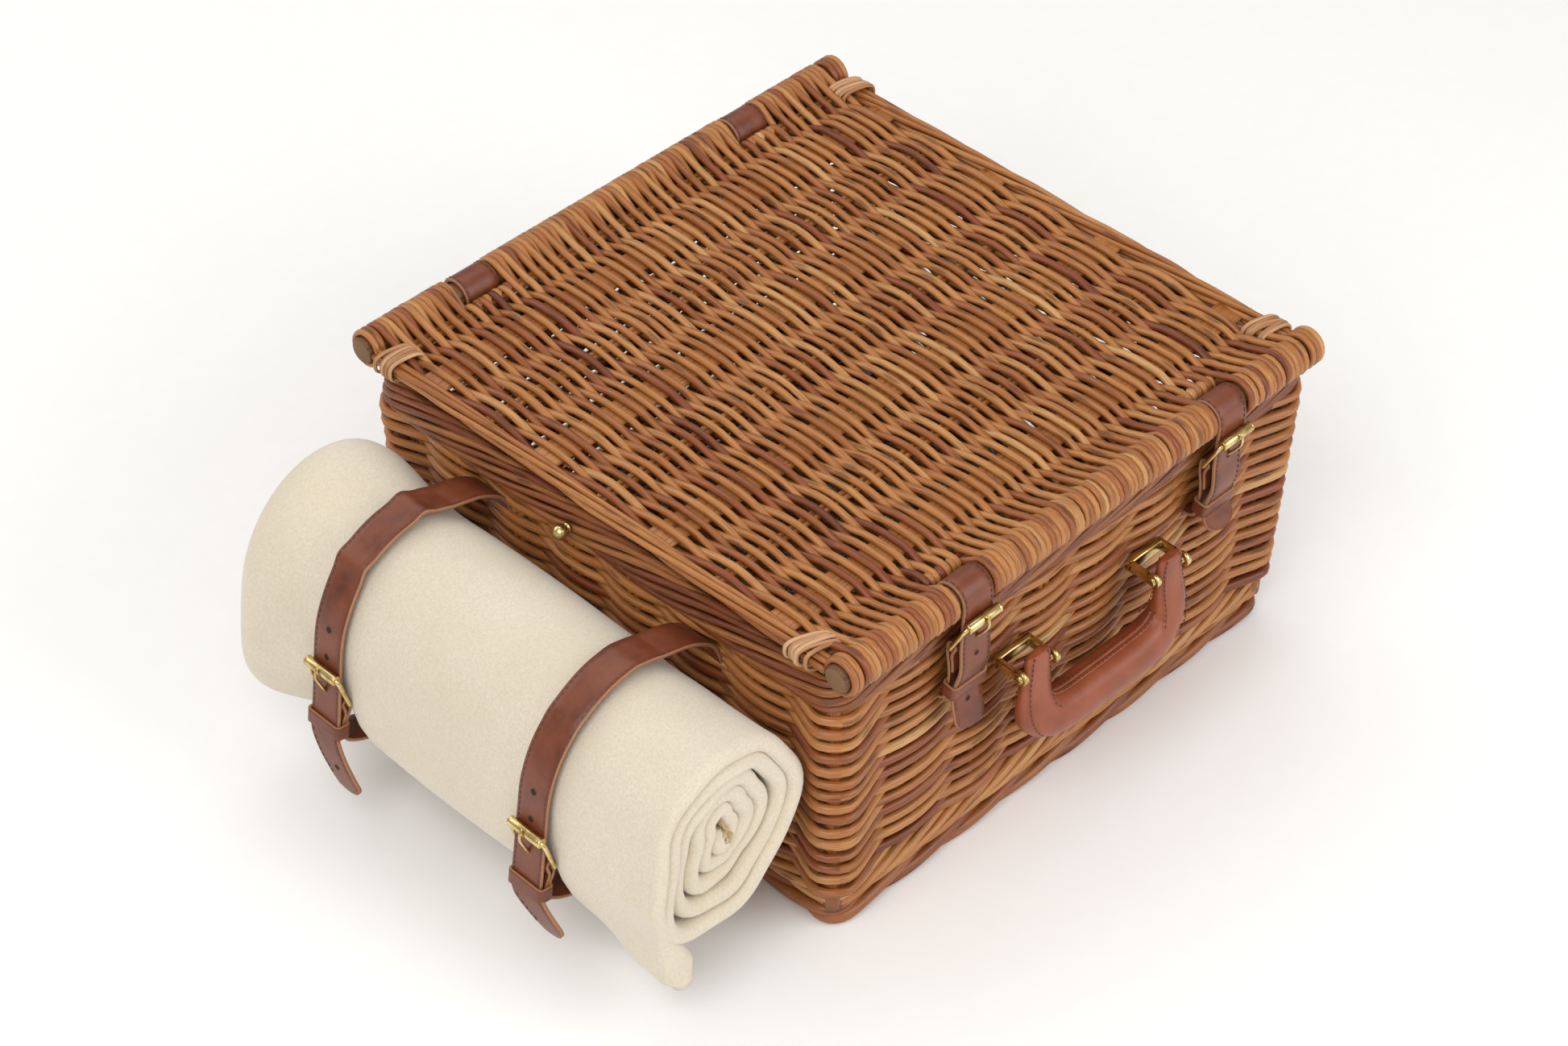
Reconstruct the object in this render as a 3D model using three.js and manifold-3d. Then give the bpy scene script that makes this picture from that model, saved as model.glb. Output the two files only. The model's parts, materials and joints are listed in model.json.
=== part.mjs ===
// A wicker picnic hamper with a rolled blanket strapped to its left side.
// Millimetres, +Z up. Origin: centre of the base, on the floor. The handle side faces -Y.
import * as THREE from 'three';
import { mergeVertices } from 'three/addons/utils/BufferGeometryUtils.js';
import Module from 'manifold-3d';

const wasm = await Module();
wasm.setup();

// ---- driving dimensions -------------------------------------------------------------
const GAP = 0.3;                                   // between pieces that touch
const BASE_HALF = { x: 203.6, y: 193.5 };          // outer faces at the floor
const TOP_HALF = { x: 210.8, y: 201.4 };           // outer faces at LEAN_HEIGHT
const LEAN_HEIGHT = 208;
const WALL_THICK = 12;
const POST_RADIUS = 7;
const POST_INSET = 8;                              // post axis inside the outer faces
const BAY_END = 16;                                // walls stop this far inside each corner
const FOOT = { height: 16, width: 14, proud: 1 };
const BASE_PANEL_THICK = 10;
const RIM = { bottom: 192, top: 217, width: 14, halfX: 213, halfY: 203.5 };

const LID_AXIS = { y: 205.5, z: 233 };             // axes of the two lid sticks
const STICK = { radius: 9, left: -215, right: 207, bore: 9.5 };
const LID_SLAB = { bottom: 226, top: 240, left: -203, right: 191.5 };
const SLEEVE_RADIUS = 12;                          // weave wrapped round the sticks
const LID_EDGE = { width: 11.2, bottom: 227, top: 239, halfY: 192.6 };
const LASHING = { radius: 12.2, reach: 172, thick: 2.4 };
const NOTCH = { width: 30, depth: 22.5 };          // cut in the lid weave at each strap

const LEATHER = 2.5;                               // strap thickness
const STRAP_WIDTH = 25;
const EYE = { inner: 2, outer: 4.2 };              // leather eye round a heel bar
const CHAPE_THICK = 2.4;
const SLOT_WIDTH = 4;                              // prong slots
const KEEPER = { length: 10, wall: 1.6, clearance: 0.5, back: -6.3 };
const HINGES = { left: -124, right: 114 };         // x of the two hinge loops
const HINGE_LOOP = { width: 27, inner: 9.6, outer: 12.4, foot: 192 };

const CLOSURES = { left: -109, right: 117 };       // x of the two front straps
const CLOSURE_RADIUS = 421.75;                     // strap centre line about the hinge axis
const CLOSURE_ROLLER_Z = 220;
const CLOSURE_TAIL = 96;                           // roller to strap tip
const CLOSURE_KEEPER_AT = 59;

const BUCKLE = {
  rollerOut: 4.75, rollerRadius: 3, rollerBore: 1.9, rollerLength: 27.6,
  barRadius: 1.5, heelAt: 24, heelIn: -6, sideAt: 15.5, prongWidth: 2.6, prongThick: 2.4,
};

const HANDLE = { pinX: 60, pinY: -222, pinZ: 148, bore: 2.7 };
const BRACKET = {
  halfWidth: 15.5, armThick: 3, back: -199.7, front: -205.5, low: 143.5, high: 152.5, eye: 5,
};
const PIN = { radius: 2.2, headRadius: 3.6, headThick: 1.8 };
const STUD = { y: 20, z: 204, radius: 5 };

const ROLL = { x: -276.5, z: 133, halfWidth: 66.5, halfHeight: 76, front: -183, back: 178 };
const ROLL_STRAPS = { front: -90, back: 94 };      // y of the two blanket straps
const ROLL_STRAP_GAP = 1.65;                       // strap centre line off the roll
const ROLLER_AT = { front: 21, back: 18 };         // down the straight run of each strap
const PRONG_SLOT = { start: 10, end: 40 };         // in a blanket strap, down from the roller
const STRAP_IN_WALL = 62;                          // hidden length before it meets the roll
const BLANKET_KEEPER_AT = 43;

// ---- colours -----------------------------------------------------------------------
const finish = (color, roughness, metalness = 0) =>
  new THREE.MeshStandardMaterial({ color, roughness, metalness });
const WILLOW = finish(0xb98452, 0.55);
const WILLOW_DARK = finish(0x9c6238, 0.6);
const WILLOW_PALE = finish(0xd0a070, 0.55);
const TAN_STRAP = finish(0x8a4a30, 0.45);
const TAN_HANDLE = finish(0xa85a38, 0.4);
const BRASS = finish(0xc9b069, 0.28, 1);
const FLEECE = finish(0xebe1cd, 0.95);

// ---- shape helpers ------------------------------------------------------------------
const { PI, sin, cos, hypot } = Math;
const degrees = (angle) => (angle * PI) / 180;

function toSolid(geometry) {
  const bare = geometry.clone();
  bare.deleteAttribute('normal');
  bare.deleteAttribute('uv');
  const merged = mergeVertices(bare, 1e-4);
  return new wasm.Manifold(new wasm.Mesh({
    numProp: 3,
    vertProperties: new Float32Array(merged.attributes.position.array),
    triVerts: new Uint32Array(merged.index.array),
  }));
}

function toGeometry(solid) {
  const mesh = solid.getMesh();
  const geometry = new THREE.BufferGeometry();
  geometry.setAttribute('position', new THREE.BufferAttribute(mesh.vertProperties, 3));
  geometry.setIndex(new THREE.BufferAttribute(mesh.triVerts, 1));
  return geometry;
}

function join(...geometries) {
  return toGeometry(geometries.map(toSolid).reduce((all, next) => all.add(next)));
}

function cut(geometry, ...cutters) {
  const whole = toSolid(geometry);
  return toGeometry(cutters.map(toSolid).reduce((rest, next) => rest.subtract(next), whole));
}

function box(x0, x1, y0, y1, z0, z1) {
  const geometry = new THREE.BoxGeometry(x1 - x0, y1 - y0, z1 - z0);
  return geometry.translate((x0 + x1) / 2, (y0 + y1) / 2, (z0 + z1) / 2);
}

// A round rod from one point to another.
function rod(from, to, radius, sides = 12) {
  const start = new THREE.Vector3(...from);
  const along = new THREE.Vector3(...to).sub(start);
  const geometry = new THREE.CylinderGeometry(radius, radius, along.length(), sides);
  geometry.translate(0, along.length() / 2, 0);
  const turn = new THREE.Quaternion();
  turn.setFromUnitVectors(new THREE.Vector3(0, 1, 0), along.clone().normalize());
  return geometry.applyQuaternion(turn).translate(...from);
}

// A box whose plan may change between its bottom and its top.
function leaning(z0, z1, planAt) {
  const geometry = new THREE.BoxGeometry(1, 1, 1);
  const position = geometry.attributes.position;
  for (let i = 0; i < position.count; i++) {
    const z = position.getZ(i) < 0 ? z0 : z1;
    const [x0, x1, y0, y1] = planAt(z);
    position.setXYZ(i, position.getX(i) < 0 ? x0 : x1, position.getY(i) < 0 ? y0 : y1, z);
  }
  return geometry;
}

// The outline of a strip of even thickness that follows a line of points.
function strip(points, thick) {
  const sides = [[], []];
  points.forEach(([x, y], i) => {
    const [ax, ay] = points[Math.max(i - 1, 0)];
    const [bx, by] = points[Math.min(i + 1, points.length - 1)];
    const length = hypot(bx - ax, by - ay);
    const nx = ((ay - by) / length) * (thick / 2);
    const ny = ((bx - ax) / length) * (thick / 2);
    sides[0].push(new THREE.Vector2(x + nx, y + ny));
    sides[1].unshift(new THREE.Vector2(x - nx, y - ny));
  });
  return new THREE.Shape([...sides[0], ...sides[1]]);
}

function ring(centre, inner, outer, segments = 20) {
  const circle = (radius) => Array.from({ length: segments }, (_, i) => new THREE.Vector2(
    centre[0] + radius * cos((2 * PI * i) / segments), centre[1] + radius * sin((2 * PI * i) / segments)));
  const shape = new THREE.Shape(circle(outer));
  shape.holes.push(new THREE.Path(circle(inner)));
  return shape;
}

// Extrudes an outline by a width, centred on the outline's own plane.
const slab = (shape, width) =>
  new THREE.ExtrudeGeometry(shape, { depth: width, bevelEnabled: false }).translate(0, 0, -width / 2);

// Turns an outline drawn in (y, z) or in (x, z) to its place, centred on x or on y.
const acrossX = (shape, width, x) => slab(shape, width).applyMatrix4(new THREE.Matrix4().makeBasis(
  new THREE.Vector3(0, 1, 0), new THREE.Vector3(0, 0, 1), new THREE.Vector3(1, 0, 0))).translate(x, 0, 0);
const acrossY = (shape, width, y) => slab(shape, width).applyMatrix4(new THREE.Matrix4().makeBasis(
  new THREE.Vector3(1, 0, 0), new THREE.Vector3(0, 0, 1), new THREE.Vector3(0, -1, 0))).translate(0, y, 0);

function named(name, geometry, material) {
  const mesh = new THREE.Mesh(geometry, material);
  mesh.name = name;
  return mesh;
}

const arc = (from, to, steps, pointAt) =>
  Array.from({ length: steps + 1 }, (_, i) => pointAt(from + ((to - from) * i) / steps));

// ---- body: base, feet, walls, posts and rims ---------------------------------------
const halfAt = (axis, z) => BASE_HALF[axis] + ((TOP_HALF[axis] - BASE_HALF[axis]) * z) / LEAN_HEIGHT;
const WALL_BOTTOM = FOOT.height + GAP;
const WALL_TOP = RIM.bottom - GAP;

function foot() {
  const halfX = BASE_HALF.x + FOOT.proud;
  const halfY = BASE_HALF.y + FOOT.proud;
  const innerX = halfX - FOOT.width;
  const innerY = halfY - FOOT.width;
  const sideY = innerY - GAP;
  const panelX = innerX - GAP;
  const panelY = innerY - GAP;
  return [
    named('foot_front', box(-halfX, halfX, -halfY, -innerY, 0, FOOT.height), WILLOW_DARK),
    named('foot_back', box(-halfX, halfX, innerY, halfY, 0, FOOT.height), WILLOW_DARK),
    named('foot_left', box(-halfX, -innerX, -sideY, sideY, 0, FOOT.height), WILLOW_DARK),
    named('foot_right', box(innerX, halfX, -sideY, sideY, 0, FOOT.height), WILLOW_DARK),
    named('base_panel', box(-panelX, panelX, -panelY, panelY, 0, BASE_PANEL_THICK), WILLOW),
  ];
}

function frontWallPlan(z) {
  const x = halfAt('x', z) - BAY_END;
  return [-x, x, -halfAt('y', z), WALL_THICK - halfAt('y', z)];
}

function leftWallPlan(z) {
  const y = halfAt('y', z) - BAY_END;
  return [-halfAt('x', z), WALL_THICK - halfAt('x', z), -y, y];
}

function walls() {
  const backPlan = (z) => {
    const [x0, x1, y0, y1] = frontWallPlan(z);
    return [x0, x1, -y1, -y0];
  };
  const rightPlan = (z) => {
    const [x0, x1, y0, y1] = leftWallPlan(z);
    return [-x1, -x0, y0, y1];
  };
  const loopFoot = HINGE_LOOP.foot - HINGE_LOOP.outer - 1.5;
  const loopCut = (x) => box(x - NOTCH.width / 2, x + NOTCH.width / 2, 150, 250, loopFoot, RIM.top);
  const slack = 1.2;
  const chapeSlot = (x) => acrossX(strip(closureChapeLine(), CHAPE_THICK + slack), STRAP_WIDTH + slack, x);
  const strapSlots = Object.entries(ROLL_STRAPS).flatMap(([side, y]) => [
    acrossY(strip(blanketStrapLine(), LEATHER + slack), STRAP_WIDTH + slack, y),
    acrossY(strip(blanketChapeLine(side), CHAPE_THICK + slack), STRAP_WIDTH + slack, y),
  ]);
  const panel = (plan) => leaning(WALL_BOTTOM, WALL_TOP, plan);
  return [
    named('wall_front', cut(panel(frontWallPlan), ...Object.values(CLOSURES).map(chapeSlot)), WILLOW),
    named('wall_back', cut(panel(backPlan), ...Object.values(HINGES).map(loopCut)), WILLOW),
    named('wall_left', cut(panel(leftWallPlan), ...strapSlots), WILLOW),
    named('wall_right', panel(rightPlan), WILLOW),
  ];
}

function cornerPost(name, signX, signY) {
  const at = (z) => [signX * (halfAt('x', z) - POST_INSET), signY * (halfAt('y', z) - POST_INSET), z];
  return named(name, rod(at(WALL_BOTTOM + GAP), at(WALL_TOP - GAP), POST_RADIUS), WILLOW_DARK);
}

function rims() {
  const { bottom, top, width, halfX, halfY } = RIM;
  const sideY = halfY - width - GAP;
  const legRoom = (x) => box(
    x - NOTCH.width / 2, x + NOTCH.width / 2, halfY - width - 1,
    LID_AXIS.y - HINGE_LOOP.inner + 0.7, bottom - 1, top + 1);
  const back = box(-halfX, halfX, halfY - width, halfY, bottom, top);
  return [
    named('rim_front', box(-halfX, halfX, -halfY, width - halfY, bottom, top), WILLOW_DARK),
    named('rim_back', cut(back, ...Object.values(HINGES).map(legRoom)), WILLOW_DARK),
    named('rim_left', box(-halfX, width - halfX, -sideY, sideY, bottom, top), WILLOW_DARK),
    named('rim_right', box(halfX - width, halfX, -sideY, sideY, bottom, top), WILLOW_DARK),
  ];
}

// A leather loop round the lid's back stick and under the back rim.
function hingeLoop(name, x) {
  const { inner, outer, width, foot: footZ } = HINGE_LOOP;
  const track = (radius) => [
    ...arc(0, PI, 12, (a) => new THREE.Vector2(LID_AXIS.y + radius * cos(a), LID_AXIS.z + radius * sin(a))),
    ...arc(PI, 2 * PI, 12, (a) => new THREE.Vector2(LID_AXIS.y + radius * cos(a), footZ + radius * sin(a))),
  ];
  const shape = new THREE.Shape(track(outer));
  shape.holes.push(new THREE.Path(track(inner)));
  return named(name, acrossX(shape, width, x), TAN_STRAP);
}

function sideStud() {
  const start = -RIM.halfX - GAP;
  const neck = rod([start, STUD.y, STUD.z], [start - 4, STUD.y, STUD.z], 2.2);
  const ball = new THREE.SphereGeometry(STUD.radius, 10, 6).translate(start - 6, STUD.y, STUD.z);
  return named('side_stud', join(neck, ball), BRASS);
}

// ---- straps -------------------------------------------------------------------------
// A place on a strap: origin on its centre line, t towards the tip, n outwards.
function strapFrame(origin, t, n) {
  const tip = new THREE.Vector3(...t);
  const out = new THREE.Vector3(...n);
  const matrix = new THREE.Matrix4().makeBasis(tip, out, new THREE.Vector3().crossVectors(tip, out));
  return matrix.setPosition(...origin);
}

// Closure strap coordinates: t along the arc from the roller, n outwards from the centre line.
const closureAngle = (t) => Math.asin((LID_AXIS.z - CLOSURE_ROLLER_Z) / CLOSURE_RADIUS) + t / CLOSURE_RADIUS;

function closurePoint(t, n) {
  const angle = closureAngle(t);
  const radius = CLOSURE_RADIUS + n;
  return [LID_AXIS.y - radius * cos(angle), LID_AXIS.z - radius * sin(angle)];
}

function closureFrame(x, t) {
  const angle = closureAngle(t);
  return strapFrame([x, ...closurePoint(t, 0)], [0, sin(angle), -cos(angle)], [0, -cos(angle), -sin(angle)]);
}

function closureChapeLine() {
  const knots = [
    [24, -9.1], [31, -8.4], [40, -5.6], [50, -4.65], [65, -4.65], [71, -6.4], [74, -12], [75, -23],
  ];
  const curve = new THREE.SplineCurve(knots.map(([t, n]) => new THREE.Vector2(...closurePoint(t, n))));
  return curve.getPoints(18).map((point) => [point.x, point.y]);
}

function closureStrap(name, x) {
  const start = -closureAngle(0) * CLOSURE_RADIUS;
  const line = arc(start, CLOSURE_TAIL, 16, (t) => closurePoint(t, 0));
  const loop = ring([-LID_AXIS.y, LID_AXIS.z], STICK.radius + 0.4, STICK.radius + 0.5 + LEATHER);
  const whole = join(
    acrossX(strip(line, LEATHER), STRAP_WIDTH, x),
    acrossX(loop, STRAP_WIDTH, x),
  );
  const alongStick = (reach) => [x + reach, -LID_AXIS.y, LID_AXIS.z];
  const stickRoom = rod(alongStick(-STRAP_WIDTH), alongStick(STRAP_WIDTH), STICK.radius + 0.4, 20);
  const [, tipZ] = closurePoint(CLOSURE_TAIL, 0);
  const [, slotZ] = closurePoint(BUCKLE.heelAt * 0.45, 0);
  const slot = box(x - SLOT_WIDTH / 2, x + SLOT_WIDTH / 2, -240, -190, tipZ - 5, slotZ);
  return named(name, cut(whole, stickRoom, slot, ...tipCorners(x, tipZ)), TAN_STRAP);
}

// Two wedges that take the square corners off a hanging strap tip.
function tipCorners(x, tipZ) {
  const half = STRAP_WIDTH / 2;
  return [-1, 1].map((side) => rod([x + side * half, -240, tipZ], [x + side * half, -190, tipZ], 8, 4));
}

function closureChape(name, x) {
  const heel = closurePoint(BUCKLE.heelAt, BUCKLE.heelIn);
  const eye = acrossX(ring(heel, EYE.inner, EYE.outer, 12), STRAP_WIDTH, x);
  const tongue = acrossX(strip(closureChapeLine(), CHAPE_THICK), STRAP_WIDTH, x);
  const [barY, barZ] = heel;
  const barRoom = rod([x - 20, barY, barZ], [x + 20, barY, barZ], EYE.inner, 12);
  const prongRoom = box(x - SLOT_WIDTH / 2, x + SLOT_WIDTH / 2, barY - 8, barY + 4.6, barZ - 5.5, barZ + 6);
  return named(name, cut(join(eye, tongue), barRoom, prongRoom), TAN_STRAP);
}

// A leather ring round a strap and the chape behind it.
function keeper(name, frame) {
  const { length, wall, clearance, back } = KEEPER;
  const front = LEATHER / 2 + clearance;
  const side = STRAP_WIDTH / 2 + clearance;
  const outer = box(-length / 2, length / 2, back - wall, front + wall, -side - wall, side + wall);
  const hole = box(-length, length, back, front, -side, side);
  return named(name, cut(outer, hole).applyMatrix4(frame), TAN_STRAP);
}

// The blanket strap's centre line lies on an ellipse round the roll, then runs straight.
const STRAP_OVAL = { x: ROLL.halfWidth + ROLL_STRAP_GAP, z: ROLL.halfHeight + ROLL_STRAP_GAP };
const rollPoint = (angle) => [ROLL.x + STRAP_OVAL.x * cos(angle), ROLL.z + STRAP_OVAL.z * sin(angle)];

function rollTangent(angle) {
  const [dx, dz] = [-STRAP_OVAL.x * sin(angle), STRAP_OVAL.z * cos(angle)];
  return [dx / hypot(dx, dz), dz / hypot(dx, dz)];
}

const STRAP_ON = degrees(67.1);                    // where the strap meets the roll
const STRAP_OFF = degrees(170.4);                  // and where it leaves it
const STRAIGHT_RUN = 72;
const TAIL_END = [-343, 33];

const ahead = ([x, z], [dx, dz], distance) => [x + dx * distance, z + dz * distance];

function blanketStrapLine() {
  const leave = rollPoint(STRAP_OFF);
  const down = rollTangent(STRAP_OFF);
  const bend = ahead(leave, down, STRAIGHT_RUN);
  const tail = new THREE.QuadraticBezierCurve(
    new THREE.Vector2(...bend), new THREE.Vector2(...ahead(bend, down, 20)), new THREE.Vector2(...TAIL_END));
  return [
    ahead(rollPoint(STRAP_ON), rollTangent(STRAP_ON), -STRAP_IN_WALL),
    ...arc(STRAP_ON, STRAP_OFF, 14, rollPoint),
    ...tail.getPoints(6).map((point) => [point.x, point.y]),
  ];
}

function blanketFrame(side, t) {
  const [dx, dz] = rollTangent(STRAP_OFF);
  const [x, z] = ahead(rollPoint(STRAP_OFF), [dx, dz], ROLLER_AT[side] + t);
  return strapFrame([x, ROLL_STRAPS[side], z], [dx, 0, dz], [dz, 0, -dx]);
}

// A point beside the straight run: t down it from the roller, n outwards.
function blanketPoint(side, t, n) {
  const [dx, dz] = rollTangent(STRAP_OFF);
  const [x, z] = ahead(rollPoint(STRAP_OFF), [dx, dz], ROLLER_AT[side] + t);
  return [x + dz * n, z - dx * n];
}

function blanketChapeLine(side) {
  const knots = [
    blanketPoint(side, 24, -9.1), blanketPoint(side, 31, -8.2), blanketPoint(side, 38, -4.65),
    blanketPoint(side, 49, -4.65),
    [-348, 69], [-342, 62], [-326, 58.5], [-306, 56.5],
    ...arc(degrees(262), degrees(300), 3, rollPoint),
    ahead(rollPoint(degrees(300)), rollTangent(degrees(300)), 30),
    ahead(rollPoint(degrees(300)), rollTangent(degrees(300)), 60),
  ];
  return new THREE.SplineCurve(knots.map((knot) => new THREE.Vector2(...knot)))
    .getPoints(24).map((point) => [point.x, point.y]);
}

function blanketStrap(name, side) {
  const y = ROLL_STRAPS[side];
  const slot = box(PRONG_SLOT.start, PRONG_SLOT.end, -10, 10, -SLOT_WIDTH / 2, SLOT_WIDTH / 2)
    .applyMatrix4(blanketFrame(side, 0));
  const [tipX, tipZ] = TAIL_END;
  const corners = [-1, 1].map((edge) => {
    const edgeY = y + (edge * STRAP_WIDTH) / 2;
    return rod([tipX - 50, edgeY, tipZ], [tipX + 50, edgeY, tipZ], 8, 4);
  });
  const whole = acrossY(strip(blanketStrapLine(), LEATHER), STRAP_WIDTH, y);
  return named(name, cut(whole, slot, ...corners), TAN_STRAP);
}

function blanketChape(name, side) {
  const frame = blanketFrame(side, 0);
  const heel = [BUCKLE.heelAt, BUCKLE.heelIn];
  const eye = slab(ring(heel, EYE.inner, EYE.outer, 12), STRAP_WIDTH).applyMatrix4(frame);
  const tongue = acrossY(strip(blanketChapeLine(side), CHAPE_THICK), STRAP_WIDTH, ROLL_STRAPS[side]);
  const barRoom = rod([...heel, -20], [...heel, 20], EYE.inner, 12).applyMatrix4(frame);
  const [heelT, heelN] = heel;
  const prongRoom = box(heelT - 6, heelT + 5.5, heelN - 4.6, heelN + 8, -SLOT_WIDTH / 2, SLOT_WIDTH / 2);
  return named(name, cut(join(eye, tongue), barRoom, prongRoom.applyMatrix4(frame)), TAN_STRAP);
}

// ---- buckles ------------------------------------------------------------------------
// Drawn beside a straight strap: x to the tip, y outwards, z across; drop lowers the heel bar
// where the strap itself curves away.
function buckle(prefix, suffix, frame, drop) {
  const { rollerOut, rollerRadius, rollerBore, rollerLength, barRadius, heelAt, heelIn, sideAt } = BUCKLE;
  const { prongWidth, prongThick } = BUCKLE;
  const front = [0, rollerOut];
  const heel = [heelAt, heelIn - drop];
  const corners = [front, heel].flatMap((point) => [-1, 1].map((side) =>
    new THREE.SphereGeometry(barRadius, 8, 4).translate(...point, side * sideAt)));
  const bars = [
    rod([...front, -sideAt], [...front, sideAt], barRadius, 8),
    rod([...heel, -sideAt], [...heel, sideAt], barRadius, 8),
    rod([...front, -sideAt], [...heel, -sideAt], barRadius, 8),
    rod([...front, sideAt], [...heel, sideAt], barRadius, 8),
  ];
  const roller = slab(ring(front, rollerBore, rollerRadius, 12), rollerLength);
  const rest = rollerOut + rollerRadius + 0.4 + prongThick / 2;
  const shank = [
    ahead(heel, [-0.5, 0.87], 2.9), [heelAt * 0.72, heel[1] + 7.2], [heelAt * 0.4, rest - 3.6],
    [heelAt * 0.16, rest - 0.3], [-0.5, rest + 0.1], [-4.2, rest - 1.4],
  ];
  const line = new THREE.SplineCurve(shank.map((point) => new THREE.Vector2(...point)))
    .getPoints(10).map((point) => [point.x, point.y]);
  const prong = join(
    slab(strip(line, prongThick), prongWidth),
    slab(ring(heel, barRadius + 0.4, barRadius + 2.1, 12), prongWidth),
  );
  const bore = rod([...heel, -5], [...heel, 5], barRadius + 0.4, 12);
  const place = (name, geometry) => named(`${prefix}_${name}_${suffix}`, geometry.applyMatrix4(frame), BRASS);
  return [
    place('buckle_frame', join(...bars, ...corners)),
    place('roller', roller),
    place('prong', cut(prong, bore)),
  ];
}

// ---- lid ----------------------------------------------------------------------------
function lidStick(name, y) {
  const stick = rod([STICK.left, y, LID_AXIS.z], [STICK.right, y, LID_AXIS.z], STICK.radius, 24);
  return named(name, stick, WILLOW_PALE);
}

function lidWeave() {
  const { bottom, top, left, right } = LID_SLAB;
  const along = (y, past, radius) =>
    rod([left - past, y, LID_AXIS.z], [right + past, y, LID_AXIS.z], radius, 20);
  const notch = (x, side) => {
    const y = [side * (LID_AXIS.y - NOTCH.depth), side * (LID_AXIS.y + 20)].sort((a, b) => a - b);
    return box(x - NOTCH.width / 2, x + NOTCH.width / 2, ...y, 200, 260);
  };
  const whole = join(
    box(left, right, -LID_AXIS.y, LID_AXIS.y, bottom, top),
    along(-LID_AXIS.y, 0, SLEEVE_RADIUS),
    along(LID_AXIS.y, 0, SLEEVE_RADIUS),
  );
  return named('lid_weave', cut(
    whole,
    along(-LID_AXIS.y, 10, STICK.bore),
    along(LID_AXIS.y, 10, STICK.bore),
    ...Object.values(HINGES).map((x) => notch(x, 1)),
    ...Object.values(CLOSURES).map((x) => notch(x, -1)),
  ), WILLOW);
}

// The bundle of rods along the lid's left (-1) or right (1) edge spans these x.
function edgeSpan(side) {
  const near = side < 0 ? LID_SLAB.left - 2 * GAP : LID_SLAB.right + 2 * GAP;
  return [near, near + side * LID_EDGE.width].sort((a, b) => a - b);
}

function lidEdge(name, side) {
  const { bottom, top, halfY } = LID_EDGE;
  return named(name, box(...edgeSpan(side), -halfY, halfY, bottom, top), WILLOW_PALE);
}

// Cane that binds an edge bundle to a stick: a ring round the stick and a tongue along the bundle.
function lashing(name, sideX, sideY) {
  const { radius, reach, thick } = LASHING;
  const [x0, x1] = edgeSpan(sideX);
  const stickY = sideY * LID_AXIS.y;
  const band = rod([x0 + 0.8, stickY, LID_AXIS.z], [x1 - 0.8, stickY, LID_AXIS.z], radius, 16);
  const [y0, y1] = [sideY * reach, sideY * (LID_AXIS.y - 9)].sort((a, b) => a - b);
  const tongue = box(x0 + 2, x1 - 2, y0, y1, LID_EDGE.top + GAP, LID_EDGE.top + GAP + thick);
  const bore = rod([x0 - 5, stickY, LID_AXIS.z], [x1 + 5, stickY, LID_AXIS.z], STICK.bore, 24);
  return named(name, cut(join(band, tongue), bore), WILLOW_PALE);
}

// ---- handle -------------------------------------------------------------------------
// A round rod on the axis that the handle swings about.
const pinRod = (from, to, radius) =>
  rod([from, HANDLE.pinY, HANDLE.pinZ], [to, HANDLE.pinY, HANDLE.pinZ], radius, 10);

function handleBracket(name, x) {
  const { halfWidth, armThick, back, front, low, high, eye } = BRACKET;
  const arm = (side) => {
    const [x0, x1] = [x + side * (halfWidth - armThick), x + side * halfWidth].sort((a, b) => a - b);
    return join(
      box(x0, x1, HANDLE.pinY, front + 1, HANDLE.pinZ - 4, HANDLE.pinZ + 4),
      rod([x0, HANDLE.pinY, HANDLE.pinZ], [x1, HANDLE.pinY, HANDLE.pinZ], eye, 12),
    );
  };
  const bar = box(x - halfWidth, x + halfWidth, front, back, low, high);
  const bore = pinRod(x - 30, x + 30, PIN.radius + 0.4);
  return named(name, cut(join(bar, arm(-1), arm(1)), bore), BRASS);
}

function handlePin(name, x) {
  const reach = BRACKET.halfWidth + GAP;
  const along = (from, to, radius) => pinRod(x + from, x + to, radius);
  return named(name, join(
    along(-reach - PIN.headThick, reach + PIN.headThick, PIN.radius),
    along(reach, reach + PIN.headThick, PIN.headRadius),
    along(-reach - PIN.headThick, -reach, PIN.headRadius),
  ), BRASS);
}

// The grip is lofted along a D-shaped line: [x, z, half width in the D's plane, half thickness].
const HANDLE_STATIONS = [
  [-60, 159.5, 7, 3.4], [-60, 157, 10, 4], [-60, 148, 11, 4.2], [-61.5, 135, 13, 5], [-62.5, 121, 16, 7.5],
  [-57, 107, 17.5, 10.5], [-45, 100, 16, 12.8], [-30, 98, 14.5, 14], [-12, 98, 14, 14],
];

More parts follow.
